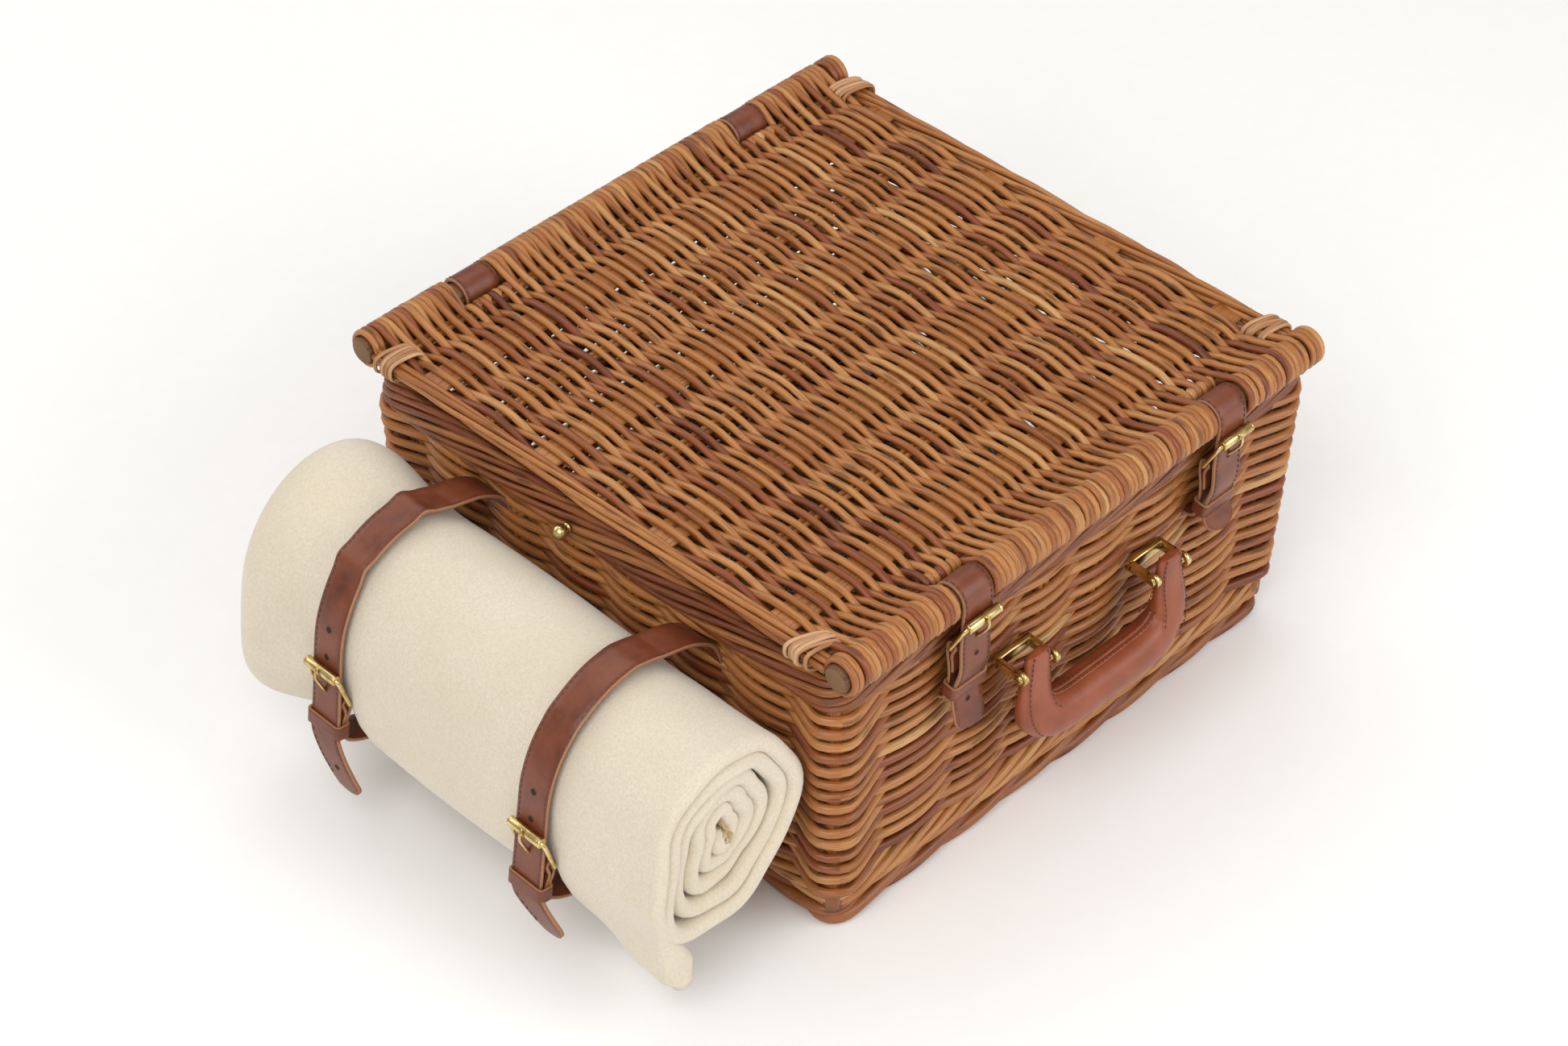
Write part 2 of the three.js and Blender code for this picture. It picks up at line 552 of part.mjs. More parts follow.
function handleGrip() {
  const sides = 12;
  const left = HANDLE_STATIONS;
  const right = left.map(([x, z, width, thick]) => [-x, z, width, thick]).reverse();
  const stations = [...left, ...right];
  const positions = [];
  stations.forEach(([x, z, width, thick], i) => {
    const [ax, az] = stations[Math.max(i - 1, 0)];
    const [bx, bz] = stations[Math.min(i + 1, stations.length - 1)];
    const length = hypot(bx - ax, bz - az);
    const [nx, nz] = [(bz - az) / length, (ax - bx) / length];
    for (let k = 0; k < sides; k++) {
      const angle = (2 * PI * k) / sides;
      const out = width * cos(angle);
      positions.push(x + nx * out, HANDLE.pinY + thick * sin(angle), z + nz * out);
    }
  });
  const index = [];
  for (let i = 0; i < stations.length - 1; i++) {
    for (let k = 0; k < sides; k++) {
      const [a, b] = [i * sides + k, i * sides + ((k + 1) % sides)];
      index.push(a, b, a + sides, b, b + sides, a + sides);
    }
  }
  const last = (stations.length - 1) * sides;
  for (let k = 1; k < sides - 1; k++) {
    index.push(0, k + 1, k, last, last + k, last + k + 1);
  }
  const geometry = new THREE.BufferGeometry();
  geometry.setAttribute('position', new THREE.Float32BufferAttribute(positions, 3));
  geometry.setIndex(index);
  const bore = (x) => pinRod(x - 30, x + 30, HANDLE.bore);
  return named('handle_grip', cut(geometry, bore(-HANDLE.pinX), bore(HANDLE.pinX)), TAN_HANDLE);
}

// ---- blanket ------------------------------------------------------------------------
// The corner of the blanket that droops from the roll's front end.
const FLAP = {
  low: { z: 38, left: -323, right: -304, proud: 2, depth: 22 },
  high: { z: 95, left: -331, right: -288, proud: 0, depth: 40 },
};

function blanketRoll() {
  const { halfWidth, halfHeight, front, back } = ROLL;
  const profile = [
    [0, front], [halfHeight - 14, front], [halfHeight - 4, front + 4], [halfHeight, front + 14],
    [halfHeight, back - 26], [halfHeight - 6, back - 10], [halfHeight - 20, back], [0, back],
  ].map(([radius, y]) => new THREE.Vector2(radius, y));
  const roll = new THREE.LatheGeometry(profile, 28).scale(halfWidth / halfHeight, 1, 1);
  roll.translate(ROLL.x, 0, ROLL.z);
  const { low, high } = FLAP;
  const flap = leaning(low.z, high.z, (z) => {
    const { left, right, proud, depth } = z === low.z ? low : high;
    return [left, right, front - proud, front + depth];
  });
  return named('blanket_roll', join(roll, flap), FLEECE);
}

// ---- assembly -----------------------------------------------------------------------
const basket = new THREE.Group();
basket.add(
  ...foot(), ...walls(), ...rims(),
  cornerPost('corner_post_front_left', -1, -1), cornerPost('corner_post_front_right', 1, -1),
  cornerPost('corner_post_back_left', -1, 1), cornerPost('corner_post_back_right', 1, 1),
  hingeLoop('hinge_loop_left', HINGES.left), hingeLoop('hinge_loop_right', HINGES.right),
  sideStud(),
);

const closureDrop = BUCKLE.heelAt ** 2 / (2 * CLOSURE_RADIUS);
for (const [side, x] of Object.entries(CLOSURES)) {
  basket.add(
    closureChape(`closure_chape_${side}`, x),
    keeper(`closure_keeper_${side}`, closureFrame(x, CLOSURE_KEEPER_AT)),
    ...buckle('closure', side, closureFrame(x, 0), closureDrop),
  );
}
for (const [side, x] of [['left', -HANDLE.pinX], ['right', HANDLE.pinX]]) {
  basket.add(handleBracket(`handle_bracket_${side}`, x), handlePin(`handle_pin_${side}`, x));
}
for (const side of Object.keys(ROLL_STRAPS)) {
  basket.add(
    blanketStrap(`blanket_strap_${side}`, side),
    blanketChape(`blanket_chape_${side}`, side),
    keeper(`blanket_keeper_${side}`, blanketFrame(side, BLANKET_KEEPER_AT)),
    ...buckle('blanket', side, blanketFrame(side, 0), 0),
  );
}

const lid = new THREE.Group();
lid.add(
  lidStick('lid_stick_front', -LID_AXIS.y), lidStick('lid_stick_back', LID_AXIS.y), lidWeave(),
  lidEdge('lid_edge_left', -1), lidEdge('lid_edge_right', 1),
  lashing('lashing_front_left', -1, -1), lashing('lashing_front_right', 1, -1),
  lashing('lashing_back_left', -1, 1), lashing('lashing_back_right', 1, 1),
  closureStrap('closure_strap_left', CLOSURES.left), closureStrap('closure_strap_right', CLOSURES.right),
);

const hamper = new THREE.Group();
hamper.add(basket, lid, handleGrip(), blanketRoll());

export default hamper;
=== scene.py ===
# %% [markdown]
# # A wicker picnic hamper with a rolled blanket
#
# The hamper is woven from willow: uprights stand in the walls, and long rods go in and out of them, row on
# row. It has a flat woven lid on two round sticks, leather straps with brass buckles, a padded handle, and a
# fleece blanket strapped to its left side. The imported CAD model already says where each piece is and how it
# moves. This file builds the looks on top: every rod is a real rod, so light and shadow fall between them.

# %% Load the frame
import json

import bpy
import numpy as np
from mathutils import Matrix, Vector


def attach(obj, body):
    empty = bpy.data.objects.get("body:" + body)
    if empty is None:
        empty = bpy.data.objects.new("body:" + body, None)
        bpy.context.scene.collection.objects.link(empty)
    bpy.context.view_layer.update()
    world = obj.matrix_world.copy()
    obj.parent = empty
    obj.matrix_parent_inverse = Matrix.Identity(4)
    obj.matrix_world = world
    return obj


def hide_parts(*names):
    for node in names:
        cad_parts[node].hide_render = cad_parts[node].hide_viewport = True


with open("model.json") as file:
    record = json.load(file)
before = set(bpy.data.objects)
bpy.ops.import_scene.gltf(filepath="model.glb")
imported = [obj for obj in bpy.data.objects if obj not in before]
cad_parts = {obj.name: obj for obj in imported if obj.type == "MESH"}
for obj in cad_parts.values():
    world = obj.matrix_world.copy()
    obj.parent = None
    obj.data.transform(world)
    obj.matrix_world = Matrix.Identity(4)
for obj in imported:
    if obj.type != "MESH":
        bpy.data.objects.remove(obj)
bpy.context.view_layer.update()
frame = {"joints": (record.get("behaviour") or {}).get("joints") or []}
joints = {joint["name"]: joint for joint in frame["joints"]}
MM = 0.001

# %% [markdown]
# ## Camera
# A product picture is taken with a long lens from above one corner. A long lens keeps the far edges nearly
# parallel. The camera is turned about the point it looks at: azimuth, elevation and a very small roll.

# %% Place the camera
AZIMUTH = np.radians(-44.75)
ELEVATION = np.radians(42.17)
ROLL = np.radians(-0.31)
TARGET = np.array([-0.0338, 0.0176, 0.0935])
DISTANCE = 2.396


def way_from(azimuth, elevation):
    """The way towards a direction: azimuth 0 is the front (-Y), and it grows towards +X."""
    level_part = np.array([np.sin(azimuth), -np.cos(azimuth)]) * np.cos(elevation)
    return np.array([*level_part, np.sin(elevation)])


back = way_from(AZIMUTH, ELEVATION)
level = np.array([np.cos(AZIMUTH), np.sin(AZIMUTH), 0.0])
upward = np.cross(back, level)
camera_right = np.cos(ROLL) * level + np.sin(ROLL) * upward
camera_up = np.cos(ROLL) * upward - np.sin(ROLL) * level
camera = bpy.data.objects.new("camera", bpy.data.cameras.new("camera"))
camera.data.lens = 85.6
camera.data.sensor_width = 36.0
turned = Matrix(np.column_stack([camera_right, camera_up, back]).tolist()).to_4x4()
camera.matrix_world = Matrix.Translation(Vector(TARGET + DISTANCE * back)) @ turned
bpy.context.scene.collection.objects.link(camera)
bpy.context.scene.camera = camera
print("camera at", [round(value, 3) for value in camera.matrix_world.translation])

# %% [markdown]
# ## Light
# Wicker is all small round shapes, so it wants one broad light from the upper left to draw each rod. Three
# more open the shadows: one from the front right, and two from behind, of which one is high and one is low.
# An even pale surround gives the brass something to reflect.

# %% Hang the studio lights
def softbox(name, azimuth, elevation, distance, size, power):
    """A square area light that looks at the target from the given direction."""
    away = way_from(np.radians(azimuth), np.radians(elevation))
    light = bpy.data.lights.new(name, "AREA")
    light.shape = "SQUARE"
    light.size = size
    light.energy = power
    lamp = bpy.data.objects.new(name, light)
    lamp.location = Vector(TARGET + distance * away)
    lamp.rotation_euler = Vector(away).to_track_quat("Z", "Y").to_euler()
    bpy.context.scene.collection.objects.link(lamp)


softbox("key_light", -66, 46, 2.4, 1.5, 27)
softbox("fill_light", 20, 30, 2.6, 1.8, 30)
softbox("top_light", 150, 66, 2.4, 1.8, 12)
softbox("left_light", 196, 30, 2.6, 1.8, 13)
world = bpy.data.worlds.new("pale_room")
world.use_nodes = True
world.node_tree.nodes["Background"].inputs["Color"].default_value = (1.0, 0.985, 0.96, 1.0)
world.node_tree.nodes["Background"].inputs["Strength"].default_value = 0.42
bpy.context.scene.world = world
bpy.context.scene.view_settings.view_transform = "Standard"

# %% [markdown]
# ## Shader sums in Python
# A finish is a small tree of nodes. Written out by hand, each sum takes many lines, so a wire is wrapped in a
# class that knows the arithmetic signs, and every other node comes from one method.

# %% Wires and recipes
class Wire:
    """A node's output. Arithmetic with numbers or other wires adds Math nodes behind it."""

    def __init__(self, recipe, socket):
        self.recipe = recipe
        self.socket = socket

    def __add__(self, other):
        return self.recipe.maths("ADD", self, other)

    def __sub__(self, other):
        return self.recipe.maths("SUBTRACT", self, other)

    def __rsub__(self, other):
        return self.recipe.maths("SUBTRACT", other, self)

    def __mul__(self, other):
        return self.recipe.maths("MULTIPLY", self, other)

    __radd__ = __add__
    __rmul__ = __mul__

    def between(self, low, high):
        """0 below low, 1 above high, with a smooth step from one to the other."""
        return self.recipe.node("MapRange", {"interpolation_type": "SMOOTHSTEP"},
                                {"Value": self, "From Min": low, "From Max": high})


class Recipe:
    """One material, built node by node."""

    def __init__(self, name):
        self.material = bpy.data.materials.new(name)
        self.material.use_nodes = True
        self.tree = self.material.node_tree
        self.shader = self.tree.nodes["Principled BSDF"]

    def node(self, kind, settings, inputs, output=0):
        """Adds a node of this kind; its settings are made first, then its inputs are linked or filled."""
        node = self.tree.nodes.new("ShaderNode" + kind)
        for key, value in settings.items():
            if key == "stops":
                for position, colour in value[len(node.color_ramp.elements):]:
                    node.color_ramp.elements.new(position)
                for element, (position, colour) in zip(node.color_ramp.elements, value):
                    element.position = position
                    element.color = colour
            else:
                setattr(node, key, value)
        for key, value in inputs.items():
            self.feed(node.inputs[key], value)
        return Wire(self, node.outputs[output])

    def feed(self, socket, value):
        """Links a wire into the socket, or sets the socket to a plain value."""
        if isinstance(value, Wire):
            self.tree.links.new(value.socket, socket)
        else:
            socket.default_value = value

    def maths(self, operation, first, second):
        return self.node("Math", {"operation": operation}, {0: first, 1: second})

    def mix(self, factor, first, second, blend="MIX"):
        """A colour between two colours; the colour sockets of a Mix node are numbers 6 and 7."""
        settings = {"data_type": "RGBA", "blend_type": blend}
        return self.node("Mix", settings, {0: factor, 6: first, 7: second}, 2)

    def scaled(self, vector, scale, shift=(0.0, 0.0, 0.0)):
        moved = self.node("VectorMath", {"operation": "MULTIPLY"}, {0: vector, 1: scale})
        return self.node("VectorMath", {"operation": "ADD"}, {0: moved, 1: shift})

    def noise(self, vector, scale, detail=2.0, roughness=0.5):
        return self.node("TexNoise", {}, {"Vector": vector, "Scale": scale, "Detail": detail,
                                          "Roughness": roughness})

    def finish(self, colour, roughness, height=None, strength=0.3, distance=0.001, **constants):
        """Joins the parts to the shader. height, where given, goes through one Bump node to the normal."""
        self.feed(self.shader.inputs["Base Color"], colour)
        self.feed(self.shader.inputs["Roughness"], roughness)
        if height is not None:
            bump = self.node("Bump", {}, {"Height": height, "Strength": strength, "Distance": distance})
            self.feed(self.shader.inputs["Normal"], bump)
        for key, value in constants.items():
            self.shader.inputs[key.replace("_", " ")].default_value = value
        return self.material


def paint(code):
    """A colour written as a hex number, turned from screen values into light values."""
    screen = np.array([code >> 16, (code >> 8) & 255, code & 255]) / 255.0
    light = np.where(screen <= 0.04045, screen / 12.92, ((screen + 0.055) / 1.055) ** 2.4)
    return (*light.tolist(), 1.0)


print("willow tan as light", [round(value, 3) for value in paint(0xC88E55)])

# %% [markdown]
# ## Willow and cane
# Each willow rod has its own colour, from gold to a reddish brown, and changes slowly along its length. Fine
# grain runs along it and small dark scars show where buds grew. The rods' own coordinates carry this: u runs
# along the rod and v round it, in metres, and a number called tone is drawn once for each rod.

# %% Make the willow, cane and end-grain finishes
def wood(name, stops, grain_depth, roughness, scars):
    """Rod colour = a ramp at (tone + slow blotches), darkened by grain lines and bud scars."""
    r = Recipe(name)
    along = r.node("UVMap", {"uv_map": "Rod"}, {})
    tone = r.node("Attribute", {"attribute_name": "tone"}, {}, 2)
    shift = r.node("CombineXYZ", {}, {"X": tone * 37.0, "Y": tone * 53.0, "Z": tone * 71.0})
    blotches = r.noise(r.scaled(along, (9.0, 60.0, 1.0), shift), 1.0, 3.0)
    grain = r.noise(r.scaled(along, (55.0, 1500.0, 1.0), shift), 1.0, 2.0, 0.6)
    scar_field = r.node("TexVoronoi", {"voronoi_dimensions": "2D"},
                        {"Vector": r.scaled(along, (16.0, 90.0, 1.0), shift), "Scale": 1.0})
    scar = 1.0 - scar_field.between(0.05, 0.16)
    place = tone + (blotches - 0.5) * 0.42
    base = r.node("ValToRGB", {"stops": [(at, paint(code)) for at, code in stops]}, {0: place})
    lined = r.mix(grain.between(0.45, 0.75) * grain_depth, base, paint(stops[0][1]), "MULTIPLY")
    colour = r.mix(scar * scars, lined, paint(stops[0][1]))
    rough = roughness + grain * 0.16 + scar * 0.1
    return r.finish(colour, rough, grain * 0.6 - scar * 0.9 + blotches * 0.8, 0.35, 0.0004)


WILLOW_STOPS = [(0.0, 0x431F0C), (0.22, 0x83401E), (0.42, 0xA0612E), (0.66, 0xB57840), (1.0, 0xC8965E)]
BROWN_STOPS = [(0.0, 0x3B1A0B), (0.3, 0x763A1B), (0.55, 0x925228), (0.8, 0xA26937), (1.0, 0xB17F4D)]
CANE_STOPS = [(0.0, 0x6E4020), (0.3, 0xA9764A), (0.6, 0xC4946A), (1.0, 0xD8B08A)]
BARK_STOPS = [(0.0, 0x35200F), (0.35, 0x64401F), (0.65, 0x86592F), (1.0, 0xA67B48)]
willow = wood("willow", WILLOW_STOPS, 0.55, 0.31, 0.55)
willow_brown = wood("willow_brown", BROWN_STOPS, 0.6, 0.33, 0.6)
cane = wood("cane", CANE_STOPS, 0.4, 0.38, 0.3)
bark = wood("bark", BARK_STOPS, 0.7, 0.42, 0.6)


def end_grain():
    """Rings on a cut end: a wave of the distance from the stick's centre, plus fine pores."""
    r = Recipe("end_grain")
    along = r.node("UVMap", {"uv_map": "Rod"}, {})
    distance = r.node("VectorMath", {"operation": "LENGTH"}, {0: along}, 1)
    rings = r.maths("SINE", distance * 5200.0, 0.0) * 0.5 + 0.5
    pores = r.noise(along, 2600.0)
    colour = r.mix(rings * 0.5 + pores * 0.3, paint(0x8A6A44), paint(0x5E4028))
    return r.finish(colour, 0.6 + pores * 0.2, rings * 0.4 + pores, 0.3, 0.0004)


cut_wood = end_grain()
print("wood finishes", [thing.name for thing in (willow, willow_brown, cane, bark, cut_wood)])

# %% [markdown]
# ## Leather, thread and brass
# The straps are dark bridle leather with a fine pebble, a darker burnished band near each edge and paler raw
# edges. The handle is a warmer, redder leather. The brass is polished, with soft wear and fine scratches.

# %% Make the leather finishes
def hide(name, deep, middle, worn, pebble, shine):
    """Leather colour = slow mottling between three tones; its height is a small cell pebble with creases."""
    r = Recipe(name)
    place = r.node("TexCoord", {}, {}, 3)
    strap = r.node("UVMap", {"uv_map": "Rod"}, {})
    across = r.maths("ABSOLUTE", r.node("SeparateXYZ", {}, {0: strap}, 1), 0.0)
    mottle = r.noise(place, 45.0, 4.0, 0.6)
    cells = r.node("TexVoronoi", {"feature": "DISTANCE_TO_EDGE"}, {"Vector": place, "Scale": pebble})
    creases = r.noise(r.scaled(place, (1.0, 1.0, 4.0)), 160.0, 3.0)
    edge = across.between(0.0096, 0.0122)
    valleys = 1.0 - cells.between(0.0, 0.2)
    tone = r.node("ValToRGB", {"stops": [(0.3, paint(deep)), (0.52, paint(middle)), (0.8, paint(worn))]},
                  {0: mottle})
    colour = r.mix(edge * 0.35 + valleys * 0.1, tone, paint(deep))
    height = cells.between(0.0, 0.3) * 0.5 + creases * 0.7
    return r.finish(colour, shine + mottle * 0.18 + valleys * 0.1, height, 0.16, 0.0004)


strap_leather = hide("strap_leather", 0x5C2A17, 0x743A21, 0x81452B, 1100.0, 0.26)
handle_leather = hide("handle_leather", 0x803D20, 0x994E2D, 0xA9623B, 1000.0, 0.26)


def raw_edge():
    """The cut side of a strap: pale and fibrous, with darker flecks from a fine noise."""
    r = Recipe("raw_edge")
    place = r.node("TexCoord", {}, {}, 3)
    fibres = r.noise(place, 900.0, 3.0, 0.7)
    colour = r.mix(fibres, paint(0xB98A66), paint(0x8A5638))
    return r.finish(colour, 0.62 + fibres * 0.2, fibres, 0.5, 0.0004)


def waxed_thread():
    """Thread: a fine slanted twist along each stitch."""
    r = Recipe("waxed_thread")
    along = r.node("UVMap", {"uv_map": "Rod"}, {})
    twist = r.node("TexWave", {"bands_direction": "DIAGONAL"}, {"Vector": along, "Scale": 900.0})
    colour = r.mix(twist, paint(0x3A1F14), paint(0x6B4430))
    return r.finish(colour, 0.55 + twist * 0.1, twist, 0.4, 0.0002)


leather_edge = raw_edge()
thread = waxed_thread()
print("leather finishes", strap_leather.name, handle_leather.name, leather_edge.name, thread.name)

# %% Make the brass
def polished_brass():
    """Brass colour = pale gold, browner in slow patches; scratches are noise stretched one way."""
    r = Recipe("polished_brass")
    place = r.node("TexCoord", {}, {}, 3)
    patches = r.noise(place, 120.0, 3.0)
    scratches = r.noise(r.scaled(place, (1.0, 1.0, 22.0)), 260.0, 3.0, 0.7)
    colour = r.mix(patches.between(0.35, 0.75), paint(0xE0C98C), paint(0xB08F4E))
    rough = 0.17 + patches * 0.16 + scratches.between(0.55, 0.75) * 0.12
    return r.finish(colour, rough, scratches, 0.06, 0.0003, Metallic=1.0)


brass = polished_brass()
print("brass", brass.name)

# %% [markdown]
# ## Fleece
# Brushed fleece has no weave to see: it is a soft pile with clumps a few millimetres across, and its edges
# catch the light. A sheen on the shader gives that glow, and two sizes of noise give the clumps and fuzz.

# %% Make the fleece, its hem tape and the floor
def brushed_fleece():
    r = Recipe("brushed_fleece")
    place = r.node("TexCoord", {}, {}, 3)
    clumps = r.noise(place, 620.0, 3.0, 0.65)
    fuzz = r.noise(place, 2200.0, 2.0, 0.7)
    slow = r.noise(place, 16.0, 3.0)
    shade = r.mix(clumps.between(0.25, 0.75), paint(0xD2C5AE), paint(0xE0D6C3))
    colour = r.mix(slow.between(0.35, 0.7) * 0.3, shade, paint(0xCCBEA2))
    return r.finish(colour, 0.88 + fuzz * 0.1, clumps * 0.7 + fuzz * 0.4, 0.5, 0.0009,
                    Sheen_Weight=0.35, Sheen_Roughness=0.5)


def hem_tape():
    """Twill tape: slanted ribs on the tape's own coordinates."""
    r = Recipe("hem_tape")
    along = r.node("UVMap", {"uv_map": "Rod"}, {})
    ribs = r.node("TexWave", {"bands_direction": "DIAGONAL"}, {"Vector": along, "Scale": 420.0})
    colour = r.mix(ribs, paint(0xA88A58), paint(0xDCC79A))
    return r.finish(colour, 0.6 + ribs * 0.15, ribs, 0.5, 0.0004)


def matt_floor():
    r = Recipe("matt_floor")
    place = r.node("TexCoord", {}, {}, 3)
    speck = r.noise(place, 60.0, 3.0)
    return r.finish(r.mix(speck, paint(0xFFFFFE), paint(0xFBFAF8)), 0.7 + speck * 0.1)


fleece = brushed_fleece()
tape = hem_tape()
floor_finish = matt_floor()
print("soft finishes", fleece.name, tape.name)

# %% [markdown]
# ## One sweep for every rod, strap and wire
# A willow rod, a leather strap and a brass wire are all one thing: a flat outline carried along a line. The
# sweep works on many lines at once, as whole arrays, so a hundred rods cost no more code than one.

# %% Carry outlines along lines
def circle(sides, squareness=1.0):
    """Outline points (cos a, sin a), each raised to a power below 1 to square the circle off."""
    a = 2 * np.pi * np.arange(sides) / sides
    flat = np.stack([np.cos(a), np.sin(a)], axis=1)
    return np.sign(flat) * np.abs(flat) ** squareness


def unit(vectors):
    """Vectors scaled to length 1, along the last axis."""
    return vectors / np.linalg.norm(vectors, axis=-1, keepdims=True)


def sweep(paths, across, width, height, outline, closed=False):
    """Skins along paths (K, M, 3). A skin point is centre + side * width * x + lift * height * y for each
    outline point (x, y). t is the paths' direction, side is `across` less its part along t, lift is t x side.
    Returns points, side quads with their (u, v), and the two end faces of each open path."""
    paths = np.asarray(paths, float)
    count, steps = paths.shape[:2]
    ring = len(outline)
    if closed:
        t = np.roll(paths, -1, axis=1) - np.roll(paths, 1, axis=1)
    else:
        t = np.gradient(paths, axis=1)
    t = unit(t)
    side = np.broadcast_to(np.asarray(across, float), paths.shape)
    side = unit(side - t * np.sum(side * t, axis=2, keepdims=True))
    lift = np.cross(t, side)
    w = np.broadcast_to(np.asarray(width, float), (count, steps))[..., None, None]
    h = np.broadcast_to(np.asarray(height, float), (count, steps))[..., None, None]
    x, y = outline[:, 0][:, None], outline[:, 1][:, None]
    points = paths[:, :, None] + side[:, :, None] * w * x + lift[:, :, None] * h * y
    number = np.arange(count * steps * ring).reshape(count, steps, ring)
    ahead = np.roll(number, -1, axis=1) if closed else number[:, 1:]
    here = number if closed else number[:, :-1]
    here_next, ahead_next = np.roll(here, -1, axis=2), np.roll(ahead, -1, axis=2)
    quads = np.stack([here, here_next, ahead_next, ahead], axis=-1).reshape(-1, 4)
    gaps = np.linalg.norm(np.diff(paths, axis=1, append=paths[:, :1]), axis=2)
    u = np.concatenate([np.zeros((count, 1)), np.cumsum(gaps, axis=1)], axis=1)
    u_here, u_ahead = (u[:, :-1], u[:, 1:]) if closed else (u[:, :-2], u[:, 1:-1])
    girth = np.linalg.norm(np.diff(outline, axis=0, append=outline[:1]), axis=1)
    v = np.concatenate([[0.0], np.cumsum(girth * np.mean(np.abs(w) + np.abs(h)) / 2)])
    shape = (*here.shape, 1)
    u0 = np.broadcast_to(u_here[:, :, None, None], shape)
    u1 = np.broadcast_to(u_ahead[:, :, None, None], shape)
    v0 = np.broadcast_to(v[:-1][None, None, :, None], shape)
    v1 = np.broadcast_to(v[1:][None, None, :, None], shape)
    uv = np.stack([np.concatenate([u0, v0], -1), np.concatenate([u0, v1], -1),
                   np.concatenate([u1, v1], -1), np.concatenate([u1, v0], -1)], axis=3)
    part = {"points": points.reshape(-1, 3), "faces": [(quads, uv.reshape(-1, 4, 2) * MM, 0)],
            "rods": count, "each": steps * ring}
    if not closed:
        ends = np.concatenate([number[:, 0, ::-1], number[:, -1]])
        spread = outline * np.mean(w)
        end_uv = np.broadcast_to(spread, (len(ends), ring, 2)).copy()
        end_uv[:count] = end_uv[:count, ::-1]
        part["faces"].append((ends, end_uv * MM, 1))
    return part


print("circle outline", circle(8).shape)

# %% Join parts into one named piece
def put_piece(name, parts, body, replaces=()):
    """parts is a list of (part, finishes, tones). finishes is one finish, or one each for skin and ends.
    tones gives each rod its own number. Every array is joined and handed to the mesh at once."""
    points, loops, sizes, uvs, slots, tones, used = [], [], [], [], [], [], []
    base = 0
    for part, finishes, tone in parts:
        finishes = finishes if isinstance(finishes, tuple) else (finishes, finishes)
        for faces, uv, which in part["faces"]:
            finish = finishes[min(which, len(finishes) - 1)]
            if finish not in used:
                used.append(finish)
            loops.append((faces + base).ravel())
            sizes.append(np.full(len(faces), faces.shape[1]))
            uvs.append(np.asarray(uv).reshape(-1, 2))
            slots.append(np.full(len(faces), used.index(finish)))
        points.append(part["points"])
        tones.append(np.repeat(np.broadcast_to(np.asarray(tone, float), (part["rods"],)), part["each"]))
        base += len(part["points"])
    points, loops, sizes = np.concatenate(points) * MM, np.concatenate(loops), np.concatenate(sizes)
    mesh = bpy.data.meshes.new(name)
    mesh.vertices.add(len(points))
    mesh.vertices.foreach_set("co", points.ravel())
    mesh.loops.add(len(loops))
    mesh.loops.foreach_set("vertex_index", loops.astype(np.int32))
    mesh.polygons.add(len(sizes))
    mesh.polygons.foreach_set("loop_start", (np.cumsum(sizes) - sizes).astype(np.int32))
    mesh.polygons.foreach_set("material_index", np.concatenate(slots).astype(np.int32))
    mesh.update(calc_edges=True)
    layer = mesh.uv_layers.new(name="Rod")
    layer.uv.foreach_set("vector", np.concatenate(uvs).ravel().astype(np.float32))
    tone_layer = mesh.attributes.new("tone", "FLOAT", "POINT")
    tone_layer.data.foreach_set("value", np.concatenate(tones).astype(np.float32))
    mesh.polygons.foreach_set("use_smooth", np.full(len(sizes), True))
    for finish in used:
        mesh.materials.append(finish)
    piece = bpy.data.objects.new(name, mesh)
    bpy.context.scene.collection.objects.link(piece)
    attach(piece, body)
    if replaces:
        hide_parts(*replaces)
    print(f"{name}: {len(points)} points, {int(np.sum(sizes - 2))} triangles")
    return piece


def sharpen(piece, degrees=40.0):
    """Marks edges sharper than the angle, so that flat ends and corners stay crisp."""
    piece.data.set_sharp_from_angle(angle=np.radians(degrees))
    return piece


# %% Lines, steps and wandering numbers
def run_along(line):
    """Distance from a line's start at each of its points."""
    return np.concatenate([[0.0], np.cumsum(np.linalg.norm(np.diff(line, axis=0), axis=1))])


def read_along(at, s, values):
    """The columns of `values`, known at distances s, read at the distances `at`."""
    return np.stack([np.interp(at, s, column) for column in values.T], axis=1)


def level_path(x, y, z):
    """One path along X, at (y, z)."""
    return np.column_stack([x, np.full(len(x), y), np.full(len(x), z)])[None]


def rounded_box(u_low, u_high, v_low, v_high, corner, steps):
    """Loop points (u, v) of a box with a quarter circle at each corner."""
    centres = [(u_high - corner, v_high - corner), (u_low + corner, v_high - corner),
               (u_low + corner, v_low + corner), (u_high - corner, v_low + corner)]
    arcs = []
    for (u, v), start in zip(centres, (0, 90, 180, 270)):
        a = np.radians(np.linspace(start, start + 90, steps))
        arcs.append(np.stack([u + corner * np.cos(a), v + corner * np.sin(a)], axis=1))
    return np.concatenate(arcs)


def smooth_line(knots, steps):
    """A Catmull-Rom line: between two knots, the cubic whose slopes are half the gap between neighbours."""
    knots = np.asarray(knots, float)
    padded = np.vstack([2 * knots[0] - knots[1], knots, 2 * knots[-1] - knots[-2]])
    reached = run_along(knots)
    at = np.interp(np.linspace(0, reached[-1], steps), reached, np.arange(len(knots)))
    i = np.minimum(at.astype(int), len(knots) - 2)
    f = (at - i)[:, None]
    a, b, c, d = padded[i], padded[i + 1], padded[i + 2], padded[i + 3]
    bend, twist = 2 * a - 5 * b + 4 * c - d, 3 * b - a - 3 * c + d
    return 0.5 * (2 * b + (c - a) * f + bend * f ** 2 + twist * f ** 3)


